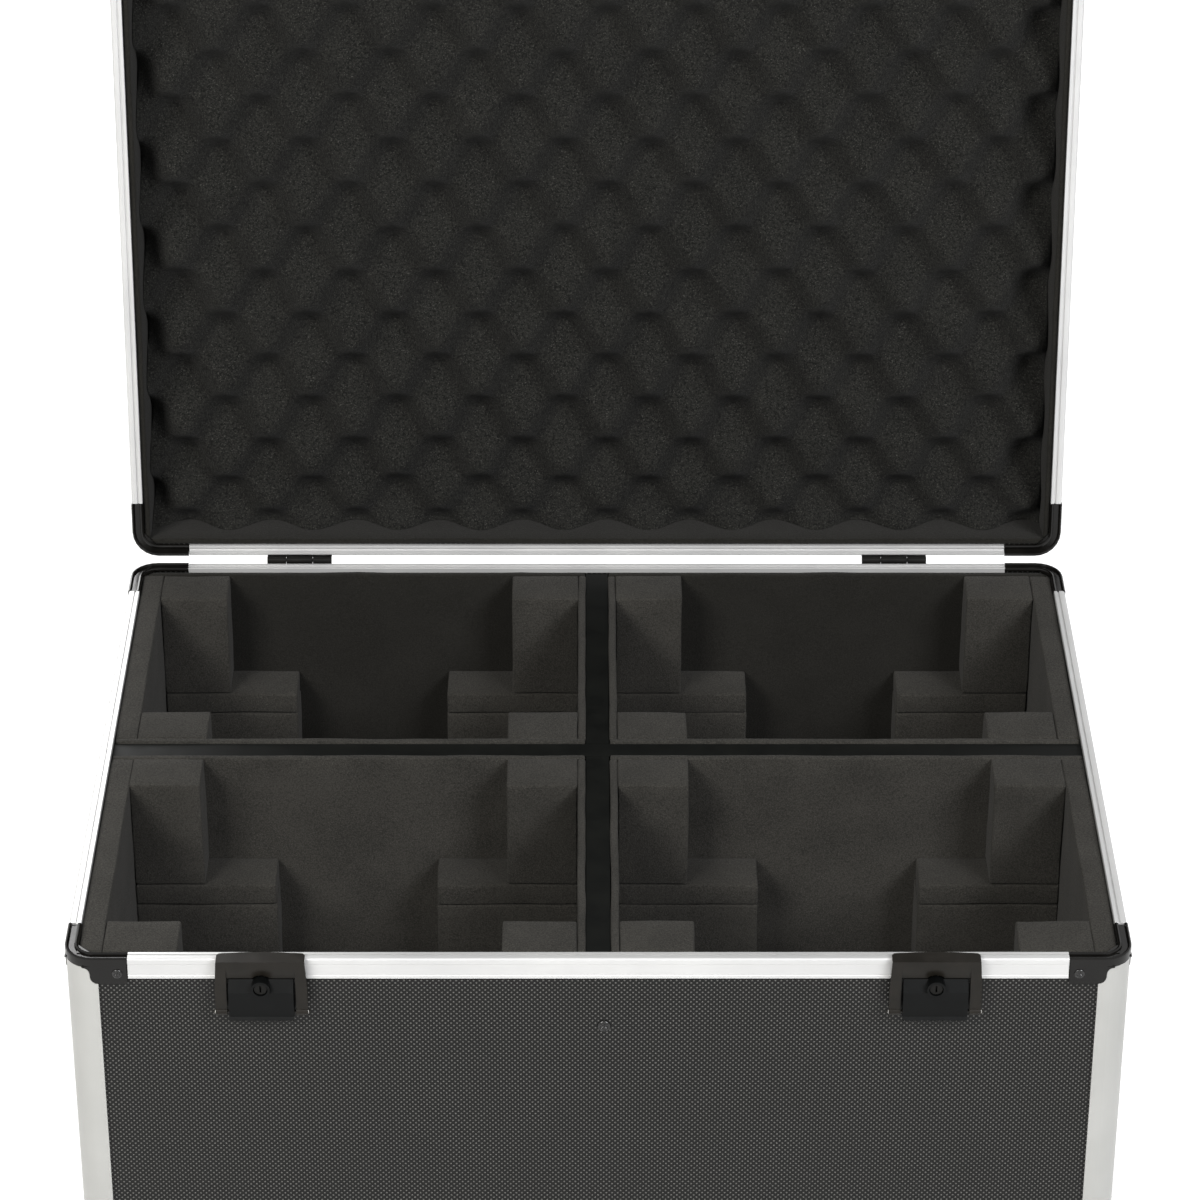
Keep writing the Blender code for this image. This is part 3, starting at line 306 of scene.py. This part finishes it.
def make_aluminium(name, along, on_lid=False, dark="#C6C6C6", light="#D4D4D3", drawn=0.3):
    """Anodised extrusion, etched to satin and drawn along one axis.

    Its oxide scatters, so it looks part matt and part metal, with faint lines along its length. The lines
    are drawn coarser than the real ones, so that they show.
    """
    material, tree, place = start_material(name)
    turn = (LID_OPEN, 0, 0) if on_lid else (0, 0, 0)
    stretch = [1.0, 1.0, 1.0]
    stretch[along] = 1 / DRAW_LENGTH
    turned = add_node(tree, MAPPING, {"Vector": place, "Rotation": turn})
    drawn_out = add_node(tree, MAPPING, {"Vector": turned, "Scale": stretch})
    fine = {"Vector": drawn_out, "Scale": 1 / DRAW_LINE, "Detail": 3, "Roughness": 0.6}
    lines = add_node(tree, NOISE, fine)
    cloud = add_node(tree, NOISE, {"Vector": place, "Scale": 1 / ANODISING_CLOUD, "Detail": 3})
    cloud = add_node(tree, MATH, {0: cloud, 1: 1 - drawn}, operation="MULTIPLY")
    tone = add_node(tree, MATH, {0: lines, 1: drawn, 2: cloud}, operation="MULTIPLY_ADD")
    tone = add_node(tree, RANGE, {0: tone, 1: 0.3, 2: 0.7})
    colours = {0: tone, 6: hex_colour(dark), 7: hex_colour(light)}
    colour = add_node(tree, BLEND, colours, data_type="RGBA").outputs[2]
    rough = add_node(tree, RANGE, {0: lines, 1: 0.3, 2: 0.7, 3: 0.38, 4: 0.48})
    relief = add_node(tree, BUMP, {"Height": lines, "Distance": DRAW_DEPTH, "Strength": drawn})
    look = {"Base Color": colour, "Roughness": rough, "Metallic": 0.45, "Normal": relief}
    add_node(tree, OUTPUT, {"Surface": add_node(tree, SHADER, look)})
    return material


def make_plastic(name, dark="#0B0A09", light="#100F0D", low=0.15, high=0.23):
    """Moulded black ABS with a spark-eroded skin.

    It has a soft gloss, duller on the grips, and thin bright lines on its edges. Its skin is drawn coarser
    than the real one, so that it shows.
    """
    material, tree, place = start_material(name)
    skin = add_node(tree, NOISE, {"Vector": place, "Scale": 1 / MOULD_SKIN, "Detail": 3})
    flow = add_node(tree, NOISE, {"Vector": place, "Scale": 1 / MOULD_FLOW, "Detail": 4})
    tone = add_node(tree, RANGE, {0: flow, 1: 0.35, 2: 0.65})
    colours = {0: tone, 6: hex_colour(dark), 7: hex_colour(light)}
    colour = add_node(tree, BLEND, colours, data_type="RGBA").outputs[2]
    rough = add_node(tree, RANGE, {0: flow, 1: 0.35, 2: 0.65, 3: low, 4: high})
    relief = add_node(tree, BUMP, {"Height": skin, "Distance": MOULD_DEPTH, "Strength": 0.4})
    look = {"Base Color": colour, "Roughness": rough, "Specular IOR Level": 0.24, "Normal": relief}
    add_node(tree, OUTPUT, {"Surface": add_node(tree, SHADER, look)})
    return material


def make_coated_metal(name, dark, light, low, high, gloss):
    """Pressed steel or cast zinc under a thin black coat: even in tone, with a faint orange peel."""
    material, tree, place = start_material(name)
    peel = add_node(tree, NOISE, {"Vector": place, "Scale": 1 / PAINT_PEEL, "Detail": 2})
    worn = {"Vector": place, "Scale": 1 / PAINT_WEAR, "Detail": 5, "Roughness": 0.6}
    wear = add_node(tree, NOISE, worn)
    tone = add_node(tree, RANGE, {0: wear, 1: 0.3, 2: 0.7})
    colours = {0: tone, 6: hex_colour(dark), 7: hex_colour(light)}
    colour = add_node(tree, BLEND, colours, data_type="RGBA").outputs[2]
    rough = add_node(tree, RANGE, {0: wear, 1: 0.3, 2: 0.7, 3: low, 4: high})
    relief = add_node(tree, BUMP, {"Height": peel, "Distance": PAINT_DEPTH, "Strength": 0.5})
    look = {"Base Color": colour, "Roughness": rough, "Specular IOR Level": gloss, "Normal": relief}
    add_node(tree, OUTPUT, {"Surface": add_node(tree, SHADER, look)})
    return material


def make_zinc_plate(name):
    """Zinc-plated steel: bright metal, clouded where the plating is dull."""
    material, tree, place = start_material(name)
    clouds = {"Vector": place, "Scale": 1 / ZINC_CLOUD, "Detail": 4, "Roughness": 0.6}
    cloud = add_node(tree, NOISE, clouds)
    tone = add_node(tree, RANGE, {0: cloud, 1: 0.3, 2: 0.7})
    colours = {0: tone, 6: hex_colour("#8C8B88"), 7: hex_colour("#C9C8C4")}
    colour = add_node(tree, BLEND, colours, data_type="RGBA").outputs[2]
    rough = add_node(tree, RANGE, {0: cloud, 1: 0.3, 2: 0.7, 3: 0.22, 4: 0.4})
    look = {"Base Color": colour, "Roughness": rough, "Metallic": 1.0}
    add_node(tree, OUTPUT, {"Surface": add_node(tree, SHADER, look)})
    return material


def make_divider(name):
    """Board with a black laminate pressed on: dull, with a fine grain and faint scuffs."""
    material, tree, place = start_material(name)
    grain = add_node(tree, NOISE, {"Vector": place, "Scale": 1 / BOARD_GRAIN, "Detail": 3})
    scuffs = {"Vector": place, "Scale": 1 / BOARD_SCUFF, "Detail": 6, "Roughness": 0.7}
    scuff = add_node(tree, NOISE, scuffs)
    tone = add_node(tree, RANGE, {0: scuff, 1: 0.35, 2: 0.75})
    colours = {0: tone, 6: hex_colour("#0B0C0B"), 7: hex_colour("#121311")}
    colour = add_node(tree, BLEND, colours, data_type="RGBA").outputs[2]
    rough = add_node(tree, RANGE, {0: scuff, 1: 0.3, 2: 0.7, 3: 0.5, 4: 0.65})
    relief = add_node(tree, BUMP, {"Height": grain, "Distance": BOARD_DEPTH, "Strength": 0.4})
    look = {"Base Color": colour, "Roughness": rough, "Specular IOR Level": 0.1, "Normal": relief}
    add_node(tree, OUTPUT, {"Surface": add_node(tree, SHADER, look)})
    return material


def make_foam(name, dark, light, glint_colour, cell, grain):
    """Black foam cut with a knife.

    It is quite matt, pitted with cells, softly clouded, and flecked with pale colour as painted glints where
    cut cell walls catch the light.
    The cells are drawn larger than real ones, so that they show.
    """
    material, tree, place = start_material(name)
    cloud = add_node(tree, NOISE, {"Vector": place, "Scale": 1 / FOAM_CLOUD, "Detail": 3})
    pits = {"Vector": place, "Scale": 1 / cell, "Detail": 2, "Roughness": 0.6}
    pores = add_node(tree, NOISE, pits)
    cells = add_node(tree, "ShaderNodeTexVoronoi", {"Vector": place, "Scale": 1 / (1.6 * cell)})
    cloud = add_node(tree, MATH, {0: cloud, 1: 1 - grain}, operation="MULTIPLY")
    tone = add_node(tree, MATH, {0: pores, 1: grain, 2: cloud}, operation="MULTIPLY_ADD")
    walls = add_node(tree, MATH, {0: 0.45, 1: cells}, operation="SUBTRACT")
    tone = add_node(tree, MATH, {0: walls, 1: 0.3, 2: tone}, operation="MULTIPLY_ADD")
    tone = add_node(tree, RANGE, {0: tone, 1: 0.34, 2: 0.7})
    colours = {0: tone, 6: hex_colour(dark), 7: hex_colour(light)}
    base = add_node(tree, BLEND, colours, data_type="RGBA").outputs[2]
    # Pale flecks: painted glints of cut cell walls catching the light
    glint_noise = add_node(tree, NOISE, {"Vector": place, "Scale": 1 / (0.75 * cell), "Detail": 1})
    glint_specks = add_node(tree, RANGE, {0: glint_noise, 1: 0.62, 2: 0.76})
    colours = {0: glint_specks, 6: base, 7: hex_colour(glint_colour)}
    colour = add_node(tree, BLEND, colours, data_type="RGBA").outputs[2]
    height = add_node(tree, MATH, {0: cells, 1: 0.6, 2: pores}, operation="MULTIPLY_ADD")
    relief = add_node(tree, BUMP, {"Height": height, "Distance": CELL_DEPTH, "Strength": 0.8})
    look = {"Base Color": colour, "Roughness": 1.0, "Specular IOR Level": 0.1, "Normal": relief}
    fuzz = {"Sheen Weight": 0.04, "Sheen Roughness": 0.6}
    add_node(tree, OUTPUT, {"Surface": add_node(tree, SHADER, look | fuzz)})
    return material


def seen_rays(tree):
    """One for the rays that see the surroundings: from the camera, off gloss and through glass."""
    rays = add_node(tree, "ShaderNodeLightPath", {}).outputs
    mirrored = {0: rays["Is Glossy Ray"], 1: rays["Is Transmission Ray"]}
    mirrored = add_node(tree, MATH, mirrored, operation="MAXIMUM")
    return add_node(tree, MATH, {0: rays["Is Camera Ray"], 1: mirrored}, operation="MAXIMUM")


def make_backdrop_paper(name):
    """Matt paper, white to the camera and in reflections, which keeps the case's shadow."""
    material, tree, place = start_material(name)
    cloud = add_node(tree, NOISE, {"Vector": place, "Scale": 1 / FLOOR_CLOUD, "Detail": 2})
    tone = add_node(tree, RANGE, {0: cloud, 1: 0.3, 2: 0.7})
    colours = {0: tone, 6: hex_colour("#CDCDCC"), 7: hex_colour("#D1D1D0")}
    colour = add_node(tree, BLEND, colours, data_type="RGBA").outputs[2]
    glow = add_node(tree, MATH, {0: seen_rays(tree), 1: FLOOR_GLOW}, operation="MULTIPLY")
    look = {"Base Color": colour, "Roughness": 0.9}
    shine = {"Emission Color": hex_colour(WHITE), "Emission Strength": glow}
    add_node(tree, OUTPUT, {"Surface": add_node(tree, SHADER, look | shine)})
    return material


laminate = make_laminate("dotted_phenolic_laminate", False)
lid_laminate = make_laminate("dotted_phenolic_laminate_lid", True)
aluminium_x = make_aluminium("anodised_aluminium_across", 0)
aluminium_y = make_aluminium("anodised_aluminium_along", 1)
lid_aluminium_y = make_aluminium("anodised_aluminium_lid_side", 1, on_lid=True)

# The corner posts are a plainer and slightly warmer extrusion than the rims
aluminium_z = make_aluminium("anodised_aluminium_upright", 2, dark="#B0B0AD", light="#B9B9B6", drawn=0.08)
abs_plastic = make_plastic("moulded_black_abs")
grip_plastic = make_plastic("handle_grip_abs", "#121211", "#191918", 0.42, 0.55)

# Black zinc is brownish with a soft shine, powder coat is bluish and dull, and oiled oxide is glossy
hasp_steel = make_coated_metal("black_zinc_steel", "#171511", "#1F1C18", 0.28, 0.4, 0.17)
lever_steel = make_coated_metal("black_powder_coated_zinc", "#070808", "#0B0C0C", 0.34, 0.44, 0.1)
hinge_steel = make_coated_metal("black_steel_hinge", "#0E0E0D", "#141311", 0.3, 0.42, 0.12)
screw_steel = make_coated_metal("black_oxide_screw", "#090908", "#0F0E0D", 0.18, 0.26, 0.5)
pin_steel = make_zinc_plate("zinc_plated_pin")
divider_board = make_divider("black_divider_laminate")

# Sheet foam has a fine even skin, and the egg-crate foam has larger cells and stronger flecks, which are
# painted glints
tray_foam = make_foam("eva_foam", "#292825", "#42403C", "#504E4A", EVA_CELL, 0.7)
# The darker foam lines the lid, and on the case's rear linings it is painted shade
shade_darkened_lining_foam = make_foam("dark_eva_foam_with_painted_shade", "#191815", "#272623", "#32312D", EVA_CELL, 0.7)
crate_foam = make_foam("polyurethane_egg_crate_foam", "#10100F", "#2B2B28", "#4A4946", CRATE_CELL, 0.85)


def to_mesh(bm, name):
    """A named mesh from an edit mesh, which it frees."""
    mesh = bpy.data.meshes.new(name)
    bm.to_mesh(mesh)
    bm.free()
    return mesh


def join(bm, piece):
    """A piece's edit mesh added to another, and freed."""
    part = to_mesh(piece, "part")
    bm.from_mesh(part)
    bpy.data.meshes.remove(part)


def new_object(name, mesh, body, slot, *materials):
    """A mesh as a piece of the case that rides on a body."""
    for material in materials:
        mesh.materials.append(material)
    obj = bpy.data.objects.new(name, mesh)
    bpy.context.scene.collection.objects.link(obj)
    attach(obj, body)
    return obj


def applied(mesh, kind, **settings):
    """A mesh with one modifier applied."""
    holder = bpy.data.objects.new("holder", mesh)
    bpy.context.scene.collection.objects.link(holder)
    modifier = holder.modifiers.new("step", kind)
    for name, value in settings.items():
        setattr(modifier, name, value)
    graph = bpy.context.evaluated_depsgraph_get()
    result = bpy.data.meshes.new_from_object(holder.evaluated_get(graph))
    bpy.data.objects.remove(holder, do_unlink=True)
    return result


def softened(mesh, width):
    """A mesh with its sharp edges rounded, and with flat faces that stay flat to the eye."""
    mesh.shade_smooth()
    rounded = applied(
        mesh, "BEVEL", width=width, segments=2, limit_method="ANGLE", angle_limit=ROUNDED_ANGLE,
        use_clamp_overlap=True,
    )
    rounded.set_sharp_from_angle(angle=SHARP_ANGLE)
    return applied(rounded, "WEIGHTED_NORMAL", keep_sharp=True, weight=90)


def dress(node, material, body, slot, width):
    """A CAD piece with its edges rounded, in place of the plain one."""
    bm = bmesh.new()
    bm.from_mesh(nodes[node].data)
    bmesh.ops.remove_doubles(bm, verts=bm.verts[:], dist=WELD)
    bmesh.ops.dissolve_limit(bm, angle_limit=FLAT, verts=bm.verts[:], edges=bm.edges[:])
    obj = new_object(f"fine_{node}", softened(to_mesh(bm, node), width), body, slot, material)
    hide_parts(node)


def paint(node, material):
    """A CAD node with its real material."""
    data = nodes[node].data
    data.materials.clear()
    data.materials.append(material)


def foam_block(bm, low, high, seed, tone=0):
    """A foam block cut from sheet: soft edges, and faces that aren't quite flat."""
    size = Vector(high) - Vector(low)
    middle = (Vector(low) + Vector(high)) / 2
    piece = bmesh.new()
    bmesh.ops.create_cube(piece, size=1.0)
    bmesh.ops.scale(piece, vec=size, verts=piece.verts[:])
    bmesh.ops.translate(piece, vec=middle, verts=piece.verts[:])
    for axis in range(3):
        cuts = max(0, round(size[axis] / BLOCK_MESH) - 1)
        runs = [
            edge for edge in piece.edges
            if abs((edge.verts[0].co - edge.verts[1].co)[axis]) > size[axis] / 2
        ]
        if cuts:
            bmesh.ops.subdivide_edges(piece, edges=runs, cuts=cuts, use_grid_fill=True)
    corners = [edge for edge in piece.edges if len(edge.link_faces) == 2 and edge.calc_face_angle() > 1]
    bmesh.ops.bevel(piece, geom=corners, offset=BLOCK_ROUND, segments=3, profile=0.5, affect="EDGES")
    inward = 1 - BLOCK_SHRINK / max(size)
    for vert in piece.verts:
        slow = noise.noise_vector(vert.co / BLOCK_SLOW[0] + Vector((seed, 2 * seed, 0))) * BLOCK_SLOW[1]
        fine = noise.noise_vector(vert.co / BLOCK_FINE[0] + Vector((0, seed, seed))) * BLOCK_FINE[1]
        vert.co = middle + (vert.co - middle) * inward + slow + fine
    for face in piece.faces:
        face.material_index = tone
    join(bm, piece)


def finish_foam(bm, node, body, *materials, sharp=None):
    """The foam piece that stands for a CAD node, made from an edit mesh."""
    mesh = to_mesh(bm, node)
    mesh.shade_smooth()
    if sharp:
        mesh.set_sharp_from_angle(angle=sharp)
    obj = new_object(f"fine_{node}", mesh, body, "grey_foam", *materials)
    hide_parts(node)


def make_compartment(row, column):
    """One compartment's foam: floor, four linings, and in each corner a ledge block with a post on it."""
    node = f"compartment_foam_{row}_{column}"
    low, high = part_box(node)
    side_walls = (FOAM_SIDE, FOAM_DIVIDER) if column == "left" else (FOAM_DIVIDER, FOAM_SIDE)
    inner_low = Vector((low.x + side_walls[0], low.y + FOAM_WALL, low.z + FOAM_FLOOR))
    inner_high = Vector((high.x - side_walls[1], high.y - FOAM_WALL, high.z))
    ledge = high.z - LEDGE_DROP
    bm = bmesh.new()
    foam_block(bm, low, (high.x, high.y, inner_low.z), 1)
    foam_block(bm, (low.x, low.y, inner_low.z), (high.x, inner_low.y, high.z), 2)

    # The lining at the case's own rear gets the darker foam, as painted shade on the rear wall
    foam_block(bm, (low.x, inner_high.y, inner_low.z), (high.x, high.y, high.z), 3, int(row == "rear"))
    foam_block(bm, (low.x, inner_low.y, inner_low.z), (inner_low.x, inner_high.y, high.z), 4)
    foam_block(bm, (inner_high.x, inner_low.y, inner_low.z), (high.x, inner_high.y, high.z), 5)
    for count, (at_right, at_rear) in enumerate(product((False, True), repeat=2)):
        y0 = inner_high.y - INSERT_DEPTH if at_rear else inner_low.y
        y1 = inner_high.y if at_rear else inner_low.y + INSERT_DEPTH
        for width, z0, z1 in (
            (LEDGE_WIDTH, inner_low.z, ledge - LEDGE_SHEET - FOAM_SEAM),
            (LEDGE_WIDTH, ledge - LEDGE_SHEET, ledge),
            (POST_WIDTH, ledge + FOAM_SEAM, high.z),
        ):
            x0 = inner_high.x - width if at_right else inner_low.x
            x1 = inner_high.x if at_right else inner_low.x + width
            foam_block(bm, (x0, y0, z0), (x1, y1, z1), 10 + count + 7 * z0)
    finish_foam(bm, node, "case", tray_foam, shade_darkened_lining_foam)


def crate_point(right, down, half_x, half_y):
    """A point of the egg-crate foam's face, from its distances to the shut lid's left and front edges."""
    near_hinges = exp((down - 2 * half_y) / CRATE_SQUEEZE_REACH)
    across = (right - CRATE_FIRST[0]) / (CRATE_PITCH[0] / 2)
    along = (down + CRATE_SQUEEZE * near_hinges - CRATE_FIRST[1]) / (CRATE_PITCH[1] / 2)
    wander = noise.noise(Vector((right, down, 0)) / CRATE_WANDER[0]) * CRATE_WANDER[1]
    wave = cos(pi * (across + wander)) * cos(pi * (along - wander))
    free = min(1.0, (2 * half_y - down) / CRATE_PITCH[1])
    droop = CRATE_DROOP * free * (1 - wave) / 2
    held = 1 - CRATE_EDGE_HOLD * near_hinges
    depth = CRATE_PEAK_DROP + CRATE_WAVE * held * (1 + wave) / 2
    fine = noise.noise(Vector((right, down, 1)) / CRATE_FINE[0]) * CRATE_FINE[1]
    return right - half_x, case_middle + down + droop - half_y, lid_rim_z + depth + fine


def open_edges(bm):
    """The edges round an edit mesh's opening."""
    return [edge for edge in bm.edges if len(edge.link_faces) == 1]


def make_egg_crate():
    """The lid's egg-crate foam: staggered round peaks that droop a little, over hollows as deep."""
    half_x = half_width - PANEL_INSET - PANEL_THICKNESS - LINING - 2 * FIT_GAP
    half_y = half_depth - PANEL_INSET - PANEL_THICKNESS - LINING - 2 * FIT_GAP
    columns, rows = (round(2 * half / CRATE_MESH) for half in (half_x, half_y))
    bm = bmesh.new()
    bmesh.ops.create_grid(bm, x_segments=columns, y_segments=rows, size=1.0)
    for vert in bm.verts:
        vert.co = crate_point((vert.co.x + 1) * half_x, (vert.co.y + 1) * half_y, half_x, half_y)
    for item in bmesh.ops.extrude_edge_only(bm, edges=open_edges(bm))["geom"]:
        if isinstance(item, bmesh.types.BMVert):
            item.co.z = lid_back_z
    bmesh.ops.contextual_create(bm, geom=open_edges(bm))
    bmesh.ops.recalc_face_normals(bm, faces=bm.faces[:])
    bmesh.ops.transform(bm, matrix=to_open, verts=bm.verts[:])
    finish_foam(bm, "egg_crate_foam", "lid", crate_foam, sharp=FOAM_SHARP_ANGLE)


def make_lid_lining():
    """The foam band round the inside of the lid, in four strips."""
    half_x = half_width - PANEL_INSET - PANEL_THICKNESS - FIT_GAP
    half_y = half_depth - PANEL_INSET - PANEL_THICKNESS - FIT_GAP
    low, high = lid_rim_z + LINING_DROP, lid_back_z
    front, rear = case_middle - half_y, case_middle + half_y
    bm = bmesh.new()
    foam_block(bm, (-half_x, front, low), (half_x, front + LINING, high), 21)
    foam_block(bm, (-half_x, rear - LINING, low), (half_x, rear, high), 22)
    foam_block(bm, (-half_x, front + LINING, low), (LINING - half_x, rear - LINING, high), 23)
    foam_block(bm, (half_x - LINING, front + LINING, low), (half_x, rear - LINING, high), 24)
    bmesh.ops.transform(bm, matrix=to_open, verts=bm.verts[:])
    finish_foam(bm, "lid_lining", "lid", shade_darkened_lining_foam)


def add_head(bm, place, outward, radius, rise, cross):
    """A domed head, with a sunk cross where it is a screw."""
    head = bmesh.new()
    bmesh.ops.create_uvsphere(head, u_segments=24, v_segments=12, radius=radius)
    for vert in head.verts:
        vert.co.z = max(0.0, vert.co.z) * rise / radius
        across, along = abs(vert.co.x), abs(vert.co.y)
        in_arm = min(across, along) < radius * CROSS_ARM and max(across, along) < radius * CROSS_REACH
        if cross and in_arm:
            vert.co.z -= rise * CROSS_DEPTH
    turn = Vector(outward).to_track_quat("Z", "Y").to_matrix().to_4x4()
    bmesh.ops.transform(head, matrix=Matrix.Translation(place) @ turn, verts=head.verts[:])
    join(bm, head)


def add_heads(name, places, size, material, body, cross=False):
    """One object of like heads, each given as its place on the shut case and the way it faces."""
    bm = bmesh.new()
    for place, outward in places:
        add_head(bm, Vector(place), outward, *size, cross)
    if body == "lid":
        bmesh.ops.transform(bm, matrix=to_open, verts=bm.verts[:])
    mesh = to_mesh(bm, name)
    mesh.shade_smooth()
    new_object(name, mesh, body, "black_hardware", material)


def tab_screws(z):
    """The screws in a rim's eight corner tabs, at one height."""
    places = []
    for sign_x, sign_y in product((-1, 1), repeat=2):
        at_x = sign_x * (half_width - TAB_SCREW_IN)
        at_y = case_middle + sign_y * (half_depth - TAB_SCREW_IN)
        side_x = sign_x * (half_width + FIT_GAP)
        side_y = case_middle + sign_y * (half_depth + FIT_GAP)
        places.append(((side_x, at_y, z), (sign_x, 0, 0)))
        places.append(((at_x, side_y, z), (0, sign_y, 0)))
    return places


def hinge_rivets(z):
    """Three rivets in each hinge's leaf, at one height."""
    rear = case_middle + half_depth + HARDWARE_SHEET
    middles = [sign * (half_width - HINGE_INSET) for sign in HANDS.values()]
    return [
        ((middle + step * HINGE_RIVET_STEP, rear, z), (0, 1, 0)) for middle in middles for step in (-1, 0, 1)
    ]


def make_screws():
    """The screws of the rim corners and of the front board, and the rivets of the hinges."""
    base_tabs = tab_screws(rim_z - TAB_SCREW_DROP)
    lid_tabs = tab_screws(lid_rim_z + TAB_SCREW_DROP)
    add_heads("rim_screws", base_tabs, TAB_SCREW, screw_steel, "case", cross=True)
    add_heads("lid_rim_screws", lid_tabs, TAB_SCREW, screw_steel, "lid", cross=True)
    front = case_middle - half_depth + PANEL_INSET
    board = [((BOARD_SCREW_X, front, rim_z - BOARD_SCREW_DROP), (0, -1, 0))]
    add_heads("board_screw", board, BOARD_SCREW, screw_steel, "case", cross=True)
    base_rivets = hinge_rivets(rim_z - HINGE_RIVET_DROP)
    lid_rivets = hinge_rivets(lid_rim_z + HINGE_RIVET_DROP)
    add_heads("hinge_rivets", base_rivets, HINGE_RIVET, hinge_steel, "case")
    add_heads("lid_hinge_rivets", lid_rivets, HINGE_RIVET, hinge_steel, "lid")


def make_latch_pins():
    """The bright ends of the pins that the hasps turn on."""
    at_y = case_middle - half_depth - HASP_PIN_OUT
    for hand, sign in HANDS.items():
        places = []
        for side in (-1, 1):
            at_x = sign * (half_width - LATCH_INSET) + side * HASP_HALF_WIDTH
            places.append(((at_x, at_y, rim_z - HASP_PIN_DOWN), (side, 0, 0)))
        add_heads(f"hasp_pins_{hand}", places, HASP_PIN_END, pin_steel, f"latch_hasp_{hand}")


def make_handle_rivets():
    """The four rivets of each handle's plate."""
    places = []
    for hand, sign in HANDS.items():
        low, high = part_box(f"handle_plate_{hand}")
        face = sign * (half_width - PANEL_INSET + HARDWARE_SHEET)
        for y in (low.y + HANDLE_RIVET_IN[0], high.y - HANDLE_RIVET_IN[0]):
            for z in (low.z + HANDLE_RIVET_IN[1], high.z - HANDLE_RIVET_IN[1]):
                places.append(((face, y, z), (sign, 0, 0)))
    add_heads("handle_rivets", places, HANDLE_RIVET, hinge_steel, "case")


def dress_frame():
    """Materials and rounded edges for the boards, the aluminium and the plastic corners."""
    for side in ("front", "rear", "left", "right"):
        paint(f"{side}_panel", laminate)
        along_x = side in ("front", "rear")
        base_metal = aluminium_x if along_x else aluminium_y
        lid_metal = aluminium_x if along_x else lid_aluminium_y
        dress(f"base_rim_{side}", base_metal, "case", "aluminium_profile", SHEET_ROUND)
        dress(f"lid_rim_{side}", lid_metal, "lid", "aluminium_profile", SHEET_ROUND)
    paint("floor_panel", laminate)
    paint("lid_shell", lid_laminate)
    for corner in ("front_left", "front_right", "rear_right", "rear_left"):
        dress(f"corner_post_{corner}", aluminium_z, "case", "aluminium_profile", POST_ROUND)
        dress(f"base_rim_corner_{corner}", abs_plastic, "case", "black_plastic", RIM_CORNER_ROUND)
        dress(f"lid_rim_corner_{corner}", abs_plastic, "lid", "black_plastic", RIM_CORNER_ROUND)
        dress(f"bottom_corner_{corner}", abs_plastic, "case", "black_plastic", CORNER_ROUND)
        dress(f"lid_corner_{corner}", abs_plastic, "lid", "black_plastic", CORNER_ROUND)
    paint("bottom_edging", aluminium_x)
    paint("lid_edging", aluminium_x)
    paint("long_divider", divider_board)
    paint("cross_divider", divider_board)


def dress_hardware():
    """Materials and rounded edges for the hinges, latches and handles."""
    for hand in HANDS:
        lever, hasp, barrel = f"latch_lever_{hand}", f"latch_hasp_{hand}", f"lock_barrel_{hand}"
        dress(f"hinge_base_leaf_{hand}", hinge_steel, "case", "black_hardware", SHEET_ROUND)
        dress(f"hinge_lid_leaf_{hand}", hinge_steel, "lid", "black_hardware", SHEET_ROUND)
        dress(f"latch_plate_{hand}", hinge_steel, "case", "black_hardware", SHEET_ROUND)
        dress(hasp, hasp_steel, hasp, "black_hardware", LATCH_ROUND)
        dress(lever, lever_steel, lever, "black_hardware", LATCH_ROUND)
        dress(barrel, hinge_steel, barrel, "black_hardware", BARREL_ROUND)
        dress(f"handle_plate_{hand}", hinge_steel, "case", "black_hardware", HANDLE_PLATE_ROUND)
        paint(f"handle_grip_{hand}", grip_plastic)


def make_camera():
    """The camera, in front of the case and above it."""
    data = bpy.data.cameras.new("camera")
    data.lens = LENS
    data.sensor_width = SENSOR
    data.clip_end = CAMERA_REACH
    camera = bpy.data.objects.new("camera", data)
    bpy.context.scene.collection.objects.link(camera)
    camera.matrix_world = (
        Matrix.Translation((CAMERA_X, case_middle - CAMERA_OUT, rim_z + CAMERA_UP))
        @ Matrix.Rotation(CAMERA_YAW, 4, "Z")
        @ Matrix.Rotation(pi / 2 - CAMERA_PITCH, 4, "X")
        @ Matrix.Rotation(CAMERA_ROLL, 4, "Z")
    )
    bpy.context.scene.camera = camera


def add_lamp(name, place, size, power, colour):
    """A soft square lamp that looks at the case."""
    data = bpy.data.lights.new(name, "AREA")
    data.shape = "SQUARE"
    data.size = size
    data.energy = power
    data.color = hex_colour(colour)[:3]
    lamp = bpy.data.objects.new(name, data)
    bpy.context.scene.collection.objects.link(lamp)
    lamp.location = place
    lamp.rotation_euler = (Vector(LAMP_AIM) - Vector(place)).to_track_quat("-Z", "Y").to_euler()


def make_light():
    """Soft studio light from both sides in front and from behind, in white surroundings."""
    world = bpy.data.worlds.new("studio")
    world.use_nodes = True
    tree = world.node_tree
    tree.nodes.clear()
    strength = add_node(tree, MATH, {0: seen_rays(tree), 1: WORLD_LIGHT}, operation="MAXIMUM")
    glow = {"Color": hex_colour(WHITE), "Strength": strength}
    background = add_node(tree, "ShaderNodeBackground", glow)
    add_node(tree, "ShaderNodeOutputWorld", {"Surface": background})
    bpy.context.scene.world = world
    for name, lamp in LAMPS.items():
        add_lamp(name, *lamp)
    bpy.context.scene.view_settings.view_transform = "Standard"


def make_floor():
    """The pale floor under the case."""
    bm = bmesh.new()
    bmesh.ops.create_grid(bm, x_segments=1, y_segments=1, size=FLOOR_HALF)
    mesh = to_mesh(bm, "floor")
    mesh.materials.append(make_backdrop_paper("pale_floor"))
    floor = bpy.data.objects.new("floor", mesh)
    bpy.context.scene.collection.objects.link(floor)


make_camera()
make_light()
make_floor()
dress_frame()
dress_hardware()
noise.seed_set(BLOCK_SEED)
for row, column in product(("front", "rear"), HANDS):
    make_compartment(row, column)
make_egg_crate()
make_lid_lining()
make_screws()
make_latch_pins()
make_handle_rivets()
